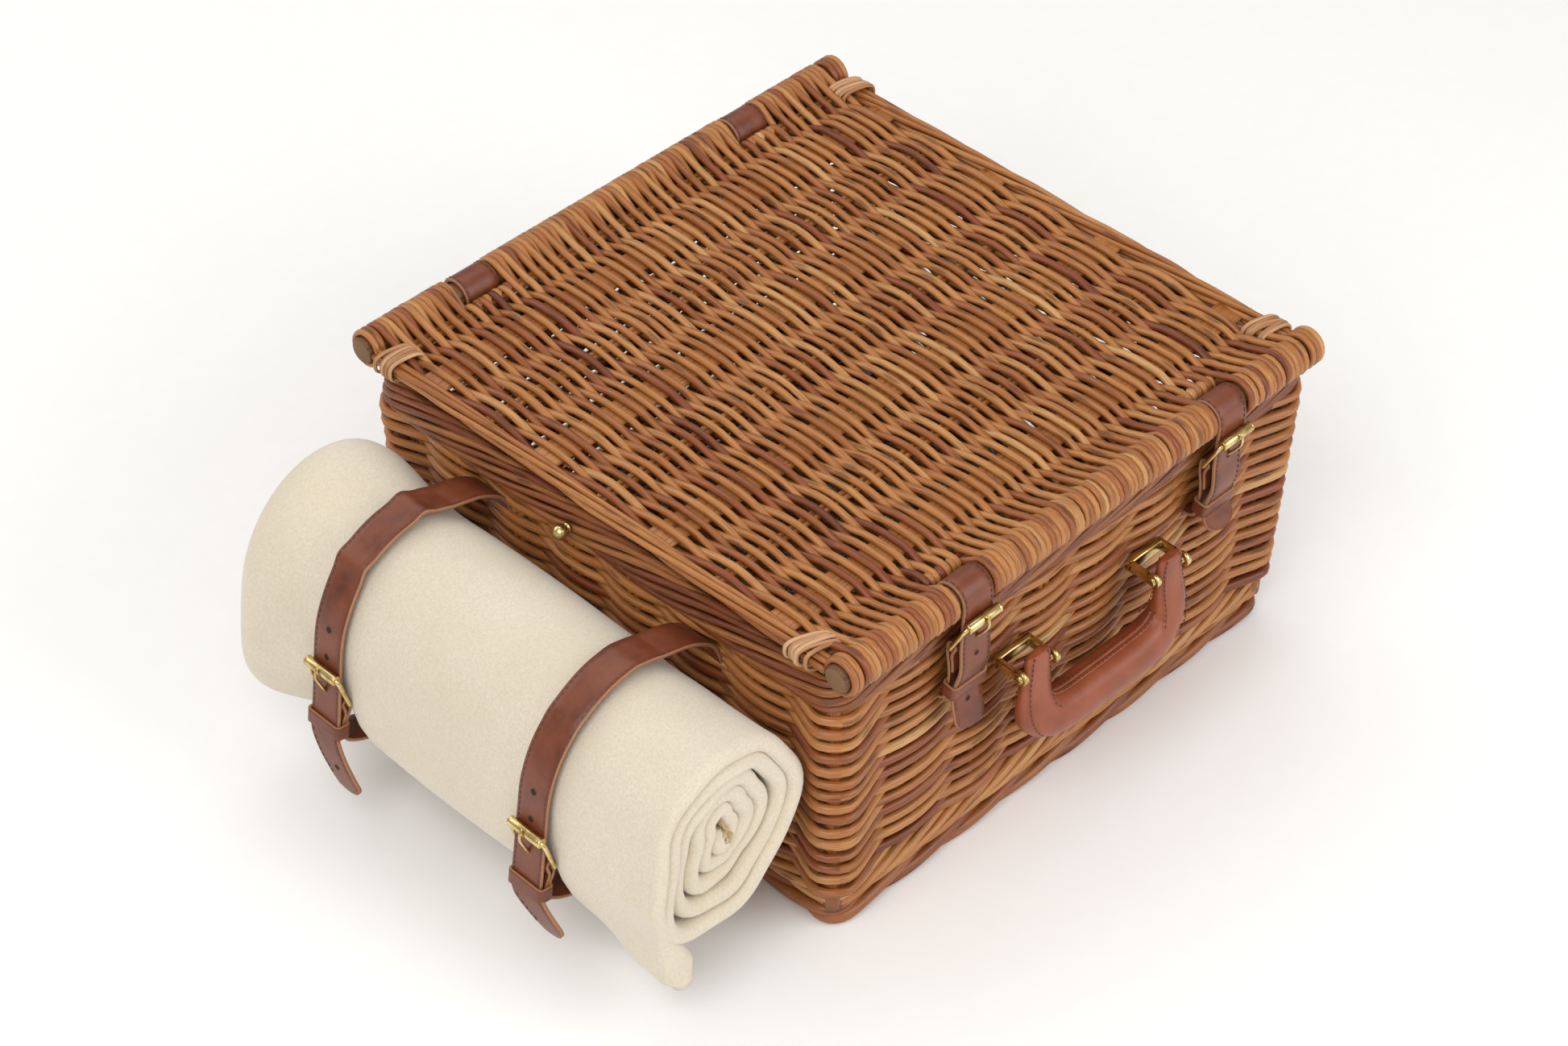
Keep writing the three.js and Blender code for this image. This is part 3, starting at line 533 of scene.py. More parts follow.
def drift(rng, rows, steps, knots, size):
    """Smooth wandering numbers: random knots joined by cosine steps, (rows, steps)."""
    marks = rng.normal(0.0, size, (rows, knots + 1))
    at = np.linspace(0, knots, steps, endpoint=False)
    i = at.astype(int)
    f = 0.5 - 0.5 * np.cos(np.pi * (at - i))
    return marks[:, i] * (1 - f) + marks[:, i + 1] * f


def steps_between(at, knots, heights):
    """Heights at `at`: flat at each knot, with a smooth step 3f^2 - 2f^3 from one knot to the next."""
    i = np.clip(np.searchsorted(knots, at) - 1, 0, len(knots) - 2)
    f = np.clip((at - knots[i]) / np.maximum(knots[i + 1] - knots[i], 1e-9), 0, 1)
    f = f * f * (3 - 2 * f)
    return heights[..., i] * (1 - f) + heights[..., i + 1] * f


def rod_tones(rng, count, reddish=0.22):
    """One tone for each rod: mostly gold, with some reddish rods and a few pale ones."""
    gold = rng.normal(0.56, 0.12, count)
    red = rng.normal(0.32, 0.07, count)
    return np.where(rng.random(count) < reddish, red, gold)


X, Y, Z = np.eye(3)
print("a smooth line of", smooth_line([(0, 0), (1, 0), (1, 1)], 5).round(2).tolist())

# %% [markdown]
# ## The lid weave
# The lid's rods run from the front stick to the back one. Each goes over one upright, under the next, and
# turns round both sticks, which is what holds the lid together. The uprights are four flat laths with pairs
# of thin rods between them. Next to each leather strap the stick stays bare, so those rods turn round the
# last thin pair instead.

# %% Measures of the lid
STICK_Y, STICK_Z, STICK_RADIUS = 205.5, 233.0, 9.0
LID_LEFT, LID_RIGHT = -203.0, 191.5
STAKES_Y = np.array([-186, -150, -100, -50, 0, 50, 100, 150, 186], float)
STAKE_IS_LATH = np.array([0, 1, 0, 1, 0, 1, 0, 1, 0], bool)
LOOPS_X = np.array([-124.0, 114.0])
CLOSURES_X = np.array([-109.0, 117.0])
ROW_PITCH = 4.3
ROD_WIDE, ROD_HIGH = 2.6, 2.15
lid_rng = np.random.default_rng(11)
rows_x = np.arange(LID_LEFT + 2.5, LID_RIGHT - 1.5, ROW_PITCH)
print("lid rows", len(rows_x), "stakes", len(STAKES_Y))

# %% Weave the lid
def turn_round(centre_y, centre_z, radius, from_angle, to_angle, steps):
    """Arc points (y, z) = centre + radius * (cos a, sin a)."""
    a = np.radians(np.linspace(from_angle, to_angle, steps))
    return np.stack([centre_y + radius * np.cos(a), centre_z + radius * np.sin(a)], axis=1)


half_plateau = np.where(STAKE_IS_LATH, 8.0, 2.5)
over = np.where(STAKE_IS_LATH, 3.7, 4.0)
knots_y = np.stack([STAKES_Y - half_plateau, STAKES_Y + half_plateau], axis=1).ravel()
flips = np.repeat(np.where(np.arange(len(STAKES_Y)) % 2, -1.0, 1.0) * over, 2)
sample_y = np.concatenate([np.linspace(a, b, n, endpoint=False) for a, b, n in
                           zip(knots_y[:-1], knots_y[1:], np.tile([2, 5], len(knots_y))[:len(knots_y) - 1])])
sample_y = sample_y[(sample_y > -184) & (sample_y < 184)]
parity = np.where(np.arange(len(rows_x)) % 2, -1.0, 1.0)
weave_z = STICK_Z + steps_between(sample_y, knots_y, parity[:, None] * flips)
bare_back = np.min(np.abs(rows_x[:, None] - LOOPS_X), axis=1) < 16.5
bare_front = np.min(np.abs(rows_x[:, None] - CLOSURES_X), axis=1) < 15.5

stick_turn = turn_round(STICK_Y, STICK_Z, STICK_RADIUS + ROD_HIGH, 104, -135, 11)
pair_turn = turn_round(186.0, STICK_Z, 3.9, 100, -130, 11)
back_turn = np.where(bare_back[:, None, None], pair_turn, stick_turn)
front_turn = np.where(bare_front[:, None, None], pair_turn, stick_turn)[:, ::-1] * np.array([-1.0, 1.0])
middle = np.stack([np.broadcast_to(sample_y, weave_z.shape), weave_z], axis=2)
yz = np.concatenate([front_turn, middle, back_turn], axis=1)
sway = drift(lid_rng, len(rows_x), yz.shape[1], 9, 0.55)
wobble = drift(lid_rng, len(rows_x), yz.shape[1], 14, 0.25)
wobble[:, :11] = 0.0
wobble[:, -11:] = 0.0
lid_paths = np.stack([rows_x[:, None] + sway, yz[..., 0], yz[..., 1] + wobble], axis=2)
thick = 1 + drift(lid_rng, len(rows_x), yz.shape[1], 3, 0.06)

WRAP_RADIUS = 11.0
wrap_places = [(x, y) for x in (-210.2, -206.0, 194.0, 198.4, 202.2) for y in (-STICK_Y, STICK_Y)]
ring = np.radians(np.linspace(0, 360, 20, endpoint=False))
end_wraps = np.stack([np.stack([x + 0.5 * np.sin(ring), y + WRAP_RADIUS * np.cos(ring),
                                STICK_Z + WRAP_RADIUS * np.sin(ring)], axis=1) for x, y in wrap_places])
put_piece(
    "lid_woven_rods",
    [(sweep(lid_paths, X, ROD_WIDE * thick, ROD_HIGH * thick, circle(7)), willow,
      rod_tones(lid_rng, len(rows_x))),
     (sweep(end_wraps, X, 2.4, 2.0, circle(8), closed=True), willow, rod_tones(lid_rng, len(end_wraps)))],
    "lid", ["lid_weave"])

# %% [markdown]
# The laths are split willow, flat and paler, so their outline is a squared ellipse. The thin rods lie in
# pairs.

# %% Lay the laths and the pairs
def straight(starts, ends, steps, rng, size):
    """Straight lines from starts to ends, with a little drift across."""
    f = np.linspace(0, 1, steps)[None, :, None]
    lines = np.asarray(starts, float)[:, None] * (1 - f) + np.asarray(ends, float)[:, None] * f
    lines[..., 1] += drift(rng, len(lines), steps, 4, size)
    lines[..., 2] += drift(rng, len(lines), steps, 4, size * 0.4)
    return lines


laths_y = STAKES_Y[STAKE_IS_LATH]
pairs_y = np.concatenate([STAKES_Y[~STAKE_IS_LATH] - 2.0, STAKES_Y[~STAKE_IS_LATH] + 2.0])
laths = straight([(-213, y, STICK_Z) for y in laths_y], [(202, y, STICK_Z) for y in laths_y],
                 24, lid_rng, 0.5)
pairs = straight([(-211, y, STICK_Z) for y in pairs_y], [(200, y, STICK_Z) for y in pairs_y],
                 24, lid_rng, 0.3)
put_piece(
    "lid_laths_and_pairs",
    [(sweep(laths, Y, 10.4, 1.7, circle(16, 0.55)), (willow, cut_wood),
      lid_rng.uniform(0.45, 0.7, len(laths_y))),
     (sweep(pairs, Y, 1.9, 1.9, circle(8)), (willow, cut_wood), rod_tones(lid_rng, len(pairs_y)))],
    "lid")

# %% Turn the two sticks
def stick(name, y, seed):
    """A peeled stick: a circle swept along X, its radius drifting a little and drawn in at the sawn ends."""
    rng = np.random.default_rng(seed)
    at = np.concatenate([[-215.0, -214.6, -213.8], np.linspace(-212, 204, 60), [205.8, 206.6, 207.0]])
    line = level_path(at, y, STICK_Z)
    radius = STICK_RADIUS * (1 + drift(rng, 1, len(at), 8, 0.012))
    radius[0, [0, 1, 2, -3, -2, -1]] = STICK_RADIUS * np.array([0.9, 0.96, 0.995, 0.995, 0.96, 0.9])
    return sharpen(put_piece(name, [(sweep(line, Y, radius, radius, circle(40)), (bark, cut_wood), 0.42)],
                             "lid", [name.replace("_round", "")]))


stick("lid_stick_front_round", -STICK_Y, 21)
stick("lid_stick_back_round", STICK_Y, 22)

# %% [markdown]
# ## Lid edges and cane lashings
# Along the lid's left and right edges long thin rods lie in a loosely twisted bundle. Split cane binds each
# end of a bundle: it goes round the bundle and the first woven rods, slanting a little.

# %% Twist the edge bundles
def twisted(base, outward, wide, high, strands, turns, rng, phase=0.0, mess=0.4):
    """Strand j follows base + outward * wide * cos(q) + Z * high * sin(q), with q = turns along the line plus
    j / strands of a turn. base is (M, 3), outward (M, 3)."""
    f = np.linspace(0, 1, len(base), endpoint=False)
    q = 2 * np.pi * (turns * f[None] + np.arange(strands)[:, None] / strands) + phase
    wander = 1 + drift(rng, strands, len(base), 16, mess * 0.12)
    return (base[None] + outward[None] * (wide * np.cos(q) * wander)[..., None]
            + Z * (high * np.sin(q) * wander)[..., None])


def edge_bundle(name, x, turns, spread, seed):
    rng = np.random.default_rng(seed)
    y = np.linspace(-196, 196, 70)
    base = np.stack([np.full_like(y, x), y, np.full_like(y, STICK_Z)], axis=1)
    outward = np.broadcast_to(X, base.shape)
    strands = twisted(base, outward, spread, 3.4, 5, turns, rng, 0.6, 1.2)
    girth = 2.1 * (1 + drift(rng, 5, len(y), 3, 0.1))
    return put_piece(name, [(sweep(strands, X, girth, girth, circle(8)), (willow, cut_wood),
                             rng.uniform(0.35, 0.85, 5))], "lid", [name.replace("_bundle", "")])


edge_bundle("lid_edge_left_bundle", -209.0, 1.0, 3.8, 31)
edge_bundle("lid_edge_right_bundle", 197.7, 1.6, 3.9, 32)

# %% Bind the corners with cane
def lashing(name, side_x, side_y, slant, seed):
    """Six thin strands. Each is a closed flat loop in the X-Z plane round the edge bundle and the first woven
    rods, and y slides along it by slant times the distance from the loop's middle."""
    rng = np.random.default_rng(seed)
    middle, reach, rise = (-205.0, 12.6, 7.4) if side_x < 0 else (193.6, 12.4, 7.4)
    a = 2 * np.pi * np.arange(40) / 40
    x = reach * np.sign(np.cos(a)) * np.abs(np.cos(a)) ** 0.8
    z = rise * np.sign(np.sin(a)) * np.abs(np.sin(a)) ** 0.6
    places = np.linspace(174.0, 186.5, 6)
    slants = side_x * (0.65 * slant + rng.normal(0, 0.09, (6, 1)))
    y = places[:, None] + slants * x[None] + rng.normal(0, 0.5, (6, 1))
    lines = np.stack([middle + x * (1 + rng.normal(0, 0.04, (6, 1))), y * side_y,
                      STICK_Z + z * (1 + rng.normal(0, 0.05, (6, 1)))], axis=2)
    return put_piece(name, [(sweep(lines, Y, 1.45, 1.05, circle(8), closed=True), cane,
                             rng.uniform(0.25, 0.8, 6))], "lid", [name.replace("_strands", "")])


for number, (where, side_x, side_y, slant) in enumerate([
        ("front_left", -1, -1, -0.55), ("front_right", 1, -1, 0.4),
        ("back_left", -1, 1, 0.15), ("back_right", 1, 1, -0.5)]):
    lashing(f"lashing_{where}_strands", side_x, side_y, slant, 41 + number)

# %% [markdown]
# ## The walls
# Each wall row goes all the way round the basket, in and out of 28 uprights: six pairs of thin rods in each
# wall and one thick post in each corner. Neighbouring rows pass on opposite sides of an upright. The walls
# lean out a little. A row is worked out as a rectangle whose sides are pushed outwards by a cosine of the
# upright's number; averaging each point with its neighbours then rounds the corners, as a bent rod does.

# %% Measures of the walls
STAKE_STEPS = np.array([26.0, 78.0, 130.0])
CORNER_INSET = 8.0
WALL_INSET = 7.0
WALL_TOP = 208.0
HALF_LONG = (203.6, 210.8)
HALF_DEEP = (193.5, 201.4)


def half_x(z):
    """Half the basket's length at height z: the foot's and the top's, in proportion."""
    return HALF_LONG[0] + (HALF_LONG[1] - HALF_LONG[0]) * z / WALL_TOP


def half_y(z):
    """Half the basket's depth at height z, in the same way."""
    return HALF_DEEP[0] + (HALF_DEEP[1] - HALF_DEEP[0]) * z / WALL_TOP


def side_numbers(corner):
    """Places and running numbers of one side's uprights, from corner to corner: 0 to 7."""
    places = np.concatenate([[-corner], -STAKE_STEPS[::-1], STAKE_STEPS, [corner]])
    return places, np.arange(len(places), dtype=float)


def around(z, inset, spots):
    """A closed rectangle line at height z. spots are shares of a half side, the same on all four sides.
    Returns points (M, 3), outward normals (M, 3) and upright numbers (M,)."""
    cx, cy = half_x(z) - CORNER_INSET, half_y(z) - CORNER_INSET
    lines, normals, numbers = [], [], []
    sides = [(cx, half_y(z) - inset, X, -Y), (cy, half_x(z) - inset, Y, X),
             (cx, half_y(z) - inset, -X, Y), (cy, half_x(z) - inset, -Y, -X)]
    for order, (corner, out, along, normal) in enumerate(sides):
        s = spots * corner
        lines.append(along * s[:, None] + normal * out + Z * z)
        normals.append(np.broadcast_to(normal, (len(s), 3)))
        numbers.append(np.interp(s, *side_numbers(corner)) + 7 * order)
    return np.concatenate(lines), np.concatenate(normals), np.concatenate(numbers)


def soften(paths, rounds):
    """Each round moves a point to a quarter of each neighbour plus half of itself, round closed lines."""
    for _ in range(rounds):
        paths = (np.roll(paths, 1, axis=1) + 2 * paths + np.roll(paths, -1, axis=1)) / 4
    return paths


near_corner = np.array([0.985, 0.965, 0.945, 0.92])
half_spots = np.concatenate([np.linspace(0.02, 0.88, 20), near_corner[::-1], [1.0]])
spots = np.concatenate([-half_spots[::-1], half_spots])
print("points round one row", 4 * len(spots))

# %% Weave the walls
FIRST_ROW, ROW_RISE, WALL_ROWS = 36.0, 5.45, 30
ROW_UNEVEN = 0.27


def wall_rows(heights, first, rng, girth):
    """Closed rows at the heights; row k bows by A * cos(pi * (number + k)), and most at the corner posts."""
    rows = []
    for k, z in enumerate(heights):
        line, normal, number = around(z, WALL_INSET, spots)
        to_corner = np.abs(number % 7 - 3.5) / 3.5
        bow = np.interp(to_corner, [0, 0.72, 1], [4.9, 4.9, 10.2])
        offset = bow * np.cos(np.pi * (number + k + first))
        rows.append(line + normal * offset[:, None])
    rows = soften(np.array(rows), 2)
    rows[..., 2] += drift(rng, len(rows), rows.shape[1], 34, 0.5)
    rows[..., 2] += ROW_UNEVEN * np.sin(np.arange(len(rows)) * 1.7)[:, None]
    size = girth * (1 + drift(rng, len(rows), rows.shape[1], 17, 0.07))
    return sweep(rows, Z, size * 1.13, size * 1.04, circle(7), closed=True)


wall_rng = np.random.default_rng(51)
row_heights = FIRST_ROW + ROW_RISE * np.arange(WALL_ROWS)
half = len(row_heights) // 2
for name, chosen, first, nodes in [
        ("wall_woven_rods_low", row_heights[:half], 0, ["wall_front", "wall_back"]),
        ("wall_woven_rods_high", row_heights[half:], half, ["wall_left", "wall_right"])]:
    part = wall_rows(chosen, first, wall_rng, 2.95)
    put_piece(name, [(part, willow, rod_tones(wall_rng, len(chosen), 0.35))], "basket", nodes)

# %% Stand the uprights
PAIR_GAP = 5.6


def upright_places(z):
    """Centres of the 28 uprights at height z: six in each wall, then one in each corner."""
    cx, cy = half_x(z) - CORNER_INSET, half_y(z) - CORNER_INSET
    s = np.concatenate([-STAKE_STEPS[::-1], STAKE_STEPS])
    one, ix, iy = np.ones_like(s), half_x(z) - WALL_INSET, half_y(z) - WALL_INSET
    flat = np.concatenate([np.stack([s, -iy * one], 1), np.stack([s, iy * one], 1),
                           np.stack([-ix * one, s], 1), np.stack([ix * one, s], 1),
                           [(-cx, -cy), (cx, -cy), (-cx, cy), (cx, cy)]])
    return np.concatenate([flat, np.full((len(flat), 1), z)], axis=1)


uprights = np.stack([upright_places(z) for z in np.linspace(17, 198, 24)], axis=1)
uprights[:, :, :2] += wall_rng.normal(0, 0.12, (len(uprights), 24, 2))
posts, stakes = uprights[-4:], uprights[:-4]
along_wall = np.repeat([X, Y], 2 * 2 * len(STAKE_STEPS), axis=0)[:, None]
stakes = np.concatenate([stakes - 0.5 * PAIR_GAP * along_wall, stakes + 0.5 * PAIR_GAP * along_wall])
put_piece("wall_uprights", [(sweep(stakes, X, 2.9, 2.9, circle(8)), (willow, cut_wood),
                             rod_tones(wall_rng, len(stakes), 0.4))], "basket")
for post, where in zip(posts, ["front_left", "front_right", "back_left", "back_right"]):
    skin = sweep(post[None], X, 6.0, 6.0, circle(12))
    put_piece(f"corner_post_{where}_rod", [(skin, (willow_brown, cut_wood), 0.5)],
              "basket", [f"corner_post_{where}"])

# %% [markdown]
# ## Borders
# The top border, the thick band at the bottom of the wall and the foot are all twisted from bunches of rods.
# Each strand winds round the border's centre line, so all three use the same twist, on a closed line.

# %% Twist the borders
def rounded_line(half_long, half_deep, z, radius, steps):
    """A rectangle with round corners, from points evenly spaced along it, with its outward directions."""
    signs = [(1, -1, 270), (1, 1, 0), (-1, 1, 90), (-1, -1, 180)]
    points, ways = [], []
    for sx, sy, start in signs:
        b = np.radians(np.linspace(start, start + 90, 9))
        way = np.stack([np.cos(b), np.sin(b)], axis=1)
        points.append(np.array([sx * (half_long - radius), sy * (half_deep - radius)]) + radius * way)
        ways.append(way)
    points, ways = np.concatenate(points), np.concatenate(ways)
    closed_points, closed_ways = np.vstack([points, points[:1]]), np.vstack([ways, ways[:1]])
    s = run_along(closed_points)
    at = np.linspace(0, s[-1], steps, endpoint=False)
    flat, way = read_along(at, s, closed_points), read_along(at, s, closed_ways)
    zeros = np.zeros((steps, 1))
    return np.hstack([flat, zeros + z]), np.hstack([unit(way), zeros])


def border(name, z, inset, wide, high, strands, pitch, radius, finish, seed, steps, replaces, tones):
    rng = np.random.default_rng(seed)
    long, deep = half_x(z) - inset, half_y(z) - inset
    base, outward = rounded_line(long, deep, z, 11.0, steps)
    turns = round(4 * (long + deep) / pitch)
    paths = twisted(base, outward, wide, high, strands, turns, rng)
    girth = radius * (1 + drift(rng, strands, steps, 60, 0.09))
    skin = sweep(paths, Z, girth, girth, circle(7), closed=True)
    return put_piece(name, [(skin, finish, tones(rng, strands))], "basket", replaces)


def brownish(rng, count):
    return rng.uniform(0.25, 0.75, count)


border("rim_border", 203.0, 5.0, 4.4, 11.2, 10, 250.0, 2.6, willow_brown, 61, 560,
       ["rim_front", "rim_back", "rim_left", "rim_right"], brownish)
border("wall_band", 25.5, 6.5, 5.0, 7.0, 6, 150.0, 2.9, willow, 62, 560,
       (), lambda rng, count: rng.uniform(0.55, 0.85, count))
border("foot_border", 8.0, 6.6, 3.6, 3.8, 3, 150.0, 4.1, willow_brown, 63, 480,
       ["foot_front", "foot_back", "foot_left", "foot_right"], brownish)

# %% [markdown]
# ## The base
# Under the basket the base is woven flat: rods along Y over and under seven thicker rods along X.

# %% Weave the base
base_rng = np.random.default_rng(71)
base_x = np.arange(-186.0, 187.0, 6.2)
base_y = np.linspace(-177, 177, 49)
bars_y = np.linspace(-150, 150, 7)
base_parity = np.where(np.arange(len(base_x)) % 2, 1.0, -1.0)
base_z = 5.0 + 2.0 * base_parity[:, None] * np.cos(np.pi * (base_y - bars_y[0]) / 50.0)[None]
base_paths = np.stack([base_x[:, None] + drift(base_rng, len(base_x), 49, 6, 0.3),
                       np.broadcast_to(base_y, base_z.shape), base_z], axis=2)
bars = straight([(-189, y, 5.0) for y in bars_y], [(189, y, 5.0) for y in bars_y], 16, base_rng, 0.3)
put_piece("base_woven_rods", [(sweep(base_paths, X, 2.9, 2.2, circle(6)), (willow, cut_wood),
                               rod_tones(base_rng, len(base_x))),
                              (sweep(bars, Y, 4.0, 1.9, circle(8)), (willow, cut_wood), 0.5)],
          "basket", ["base_panel"])

# %% [markdown]
# ## Leather straps
# A strap is a flat band with rounded corners, so its outline has a broad top and bottom and two short raw
# edges, which get their own finish. Small stitches run 2 mm inside both edges. The tip is cut to a tongue.

# %% Cut straps and sew stitches
LEATHER = 2.5
STRAP_HALF = 12.5
TONGUE = 9.0
EDGE_TO_STITCH = 2.0


def band_outline():
    """Top and bottom faces of five points each, and the points at mid height between them."""
    across = np.array([-0.96, -0.5, 0.0, 0.5, 0.96])
    under = np.stack([across, -np.ones(5)], axis=1)
    over = np.stack([across[::-1], np.ones(5)], axis=1)
    return np.vstack([under, [(1.0, -0.55), (1.0, 0.55)], over, [(-1.0, 0.55), (-1.0, -0.55)]])


BAND = band_outline()


def tongue(line):
    """Half width along a strap whose last TONGUE mm narrow as a half ellipse to a blunt point."""
    s = run_along(line)
    into = np.clip((s - (s[-1] - TONGUE)) / TONGUE, 0, 0.985)
    return STRAP_HALF * np.sqrt(1 - into ** 2.2)


def ribbon(line, across, half_width=STRAP_HALF, thick=LEATHER, closed=False):
    """A strap along a line (M, 3). Its u runs along it; v is the distance from its middle."""
    widths = np.broadcast_to(half_width, (len(line),))[None]
    part = sweep(line[None], across, widths, thick / 2, BAND, closed)
    quads, uv, _ = part["faces"][0]
    ring, rows = len(BAND), len(quads) // len(BAND)
    middle = BAND[:, 0] * float(np.max(widths)) * MM
    uv = uv.reshape(rows, ring, 4, 2).copy()
    uv[:, :, 0, 1] = uv[:, :, 3, 1] = middle
    uv[:, :, 1, 1] = uv[:, :, 2, 1] = np.roll(middle, -1)
    raw = np.zeros(ring, bool)
    raw[[4, 5, 6, 11, 12, 13]] = True
    quads = quads.reshape(rows, ring, 4)
    faces = [(quads[:, ~raw].reshape(-1, 4), uv[:, ~raw].reshape(-1, 4, 2), 0),
             (quads[:, raw].reshape(-1, 4), uv[:, raw].reshape(-1, 4, 2), 1)]
    part["faces"] = faces + part["faces"][1:]
    return part


def resample(line, spacing):
    """Points evenly spaced along a line, about `spacing` apart."""
    s = run_along(line)
    at = np.linspace(0, s[-1], max(2, int(round(s[-1] / spacing)) + 1))
    return read_along(at, s, line)


def stitches(line, across, lift, offset, spacing=4.2):
    """Short thread capsules, laid end to end along a line shifted by offset across and lift off it."""
    line = resample(line, spacing)
    t = unit(np.gradient(line, axis=0))
    side = unit(np.asarray(across, float) - t * (t @ np.asarray(across, float))[:, None])
    up = np.cross(t, side)
    centre = line + side * offset
    f = np.array([-0.34, -0.3, -0.12, 0.12, 0.3, 0.34])[None, :, None] * spacing
    dip = np.array([-0.5, 0.0, 0.22, 0.22, 0.0, -0.5])[None, :, None] * 0.45
    paths = centre[:, None] + t[:, None] * f + up[:, None] * (lift + dip)
    shape = np.array([0.4, 0.8, 1.0, 1.0, 0.8, 0.4])[None] * 0.42
    return sweep(paths, across, shape, shape, circle(5))


def stitched(line, across, half_width, lift, clear_start, clear_end):
    """Two rows of stitches, 2 mm inside a strap's edges, on the side that `lift` points to."""
    s = run_along(line)
    inner = line[(s > clear_start) & (s < s[-1] - clear_end)]
    offset = half_width - EDGE_TO_STITCH
    return [(stitches(inner, across, lift, edge * offset), thread, 0.5) for edge in (-1, 1)]


def leather_piece(node, parts, body="basket"):
    """A finished leather piece that stands for one CAD node."""
    put_piece(f"{node}_leather", parts, body, [node])


LEATHERS = (strap_leather, leather_edge)
print("strap outline points", len(BAND))

# %% Buckle holes
def eyelets(line, across, lift, distances, radius=2.1):
    """Punched holes: a pressed lip at each distance from the line's end, round a near-black disc of painted
    hole shade.
    """
    s = run_along(line)
    at = s[-1] - np.asarray(distances, float)
    centre = read_along(at, s, line)
    t = unit(read_along(at, s, np.gradient(line, s, axis=0)))
    up = unit(np.cross(t, np.broadcast_to(across, t.shape)))
    a = 2 * np.pi * np.arange(18) / 18
    side = np.cross(up, t)
    ring = centre[:, None] + up[:, None] * lift + radius * (
        t[:, None] * np.cos(a)[None, :, None] + side[:, None] * np.sin(a)[None, :, None])
    lips = sweep(ring, np.cross(t, side)[:, None] * np.ones((1, 18, 1)), 0.3, 0.45, circle(6), closed=True)
    # Each hole's inside is painted shade: a near-black disc that sits flush with the strap's face.
    dish = centre[:, None] + up[:, None] * np.array([lift - 0.3, lift + 0.04])[None, :, None]
    hole_shade_discs = sweep(dish, side[:, None] * np.ones((1, 2, 1)), radius, radius, circle(16))
    return [(lips, strap_leather, 0.5), (hole_shade_discs, hole_and_slot_shade, 0.5)]


def make_hole_and_slot_shade():
    """Painted shade: a near-black finish with fine noise, for the inside of a punched hole and the slots in
    the pin heads.
    """
    r = Recipe("painted_hole_and_slot_shade")
    place = r.node("TexCoord", {}, {}, 3)
    shade_speckle = r.noise(place, 2000.0)
    return r.finish(r.mix(shade_speckle, paint(0x1C0E0A), paint(0x3A2018)), 0.85 + shade_speckle * 0.1)


hole_and_slot_shade = make_hole_and_slot_shade()
print("hole finish", hole_and_slot_shade.name)

# %% [markdown]
# ## Closure straps
# Each closure strap turns round the bare front stick, comes down under the buckle's roller and over its heel
# bar, and runs out through a keeper. Distances along it are called t, from the roller to the tip, and n is
# the distance outwards from the line that the CAD strap follows, an arc about the lid's hinge.

# %% Closure coordinates
CLOSURE_RADIUS = 421.75
ROLLER_Z = 220.0
CLOSURE_START = np.arcsin((STICK_Z - ROLLER_Z) / CLOSURE_RADIUS)
HEEL_AT, HEEL_IN = 24.0, -6.0
HEEL_DROP = HEEL_AT ** 2 / (2 * CLOSURE_RADIUS)


def closure_line(x, knots, steps):
    """A smooth line through (t, n) knots: y and z from the angle (start + t / R) and the radius R + n."""
    t, n = np.asarray(knots, float).T
    a = CLOSURE_START + t / CLOSURE_RADIUS
    r = CLOSURE_RADIUS + n
    yz = np.stack([STICK_Y - r * np.cos(a), STICK_Z - r * np.sin(a)], axis=1)
    flat = smooth_line(yz, steps)
    return np.column_stack([np.full(len(flat), x), flat])


def heel_turn(radius, from_angle, to_angle, steps):
    """(t, n) points round a closure's heel bar."""
    a = np.radians(np.linspace(from_angle, to_angle, steps))
    return np.stack([HEEL_AT + radius * np.cos(a), HEEL_IN - HEEL_DROP + radius * np.sin(a)], axis=1)


print("closure heel bar n", round(HEEL_IN - HEEL_DROP, 2))

# %% Make the closure straps, chapes and keepers
TAILS = {
    "left": [(59, 0.1), (66, 0.8), (74, 3.6), (82, 7.6), (89, 11.5)],
    "right": [(59, 0.1), (63, 0.8), (68, 3.4), (72, 7.0), (75, 11.5)],
}


def closure_strap(side, x):
    """One strap, from its loop round the lid's front stick to its tip."""
    a = np.radians(np.linspace(232, 540, 26))
    loop = np.column_stack([np.full(26, x), -STICK_Y + 10.5 * np.cos(a), STICK_Z + 10.5 * np.sin(a)])
    knots = [(-11, 0.2), (-4, 0), (0, 0), (12, 0), (23, 0.5), (32, 1.8), (41, 2.4), (50, 1.2)]
    down = closure_line(x, knots + TAILS[side], 90)
    line = resample(np.vstack([loop, down]), 2.0)
    parts = [(ribbon(line, X, tongue(line)), LEATHERS, 0.5)]
    parts += stitched(line, X, STRAP_HALF, 1.22, 34.0, 16.0)
    holes = [20, 62, 82] if side == "left" else [16, 62]
    parts += eyelets(line, X, 1.24, holes)
    leather_piece(f"closure_strap_{side}", parts, "lid")


def closure_chape(side, x):
    """The short strap that leaves the wall, turns round the heel bar and ends behind itself."""
    knots = [(75, -23), (74, -12), (71, -6.6), (65, -4.65), (50, -5.4), (40, -7.2), (31, -9.5)]
    knots += heel_turn(3.0, -90, -270, 9).tolist() + [(31, -5.9), (38, -4.5), (44, -3.6)]
    line = resample(closure_line(x, knots, 90), 1.3)
    leather_piece(f"closure_chape_{side}", [(ribbon(line, X, STRAP_HALF - 0.3, 2.2), LEATHERS, 0.5)])


def keeper_loop(node, centre, width_way, out_way, along):
    """A leather ring round a strap: a rounded rectangle, 1.7 mm thick, in the plane of width and out."""
    flat = rounded_box(-13.9, 13.9, -7.1, 2.6, 2.2, 5)
    line = centre + flat[:, :1] * width_way + flat[:, 1:] * out_way
    leather_piece(node, [(ribbon(line, along, 5.0, 1.7, closed=True), LEATHERS, 0.5)])


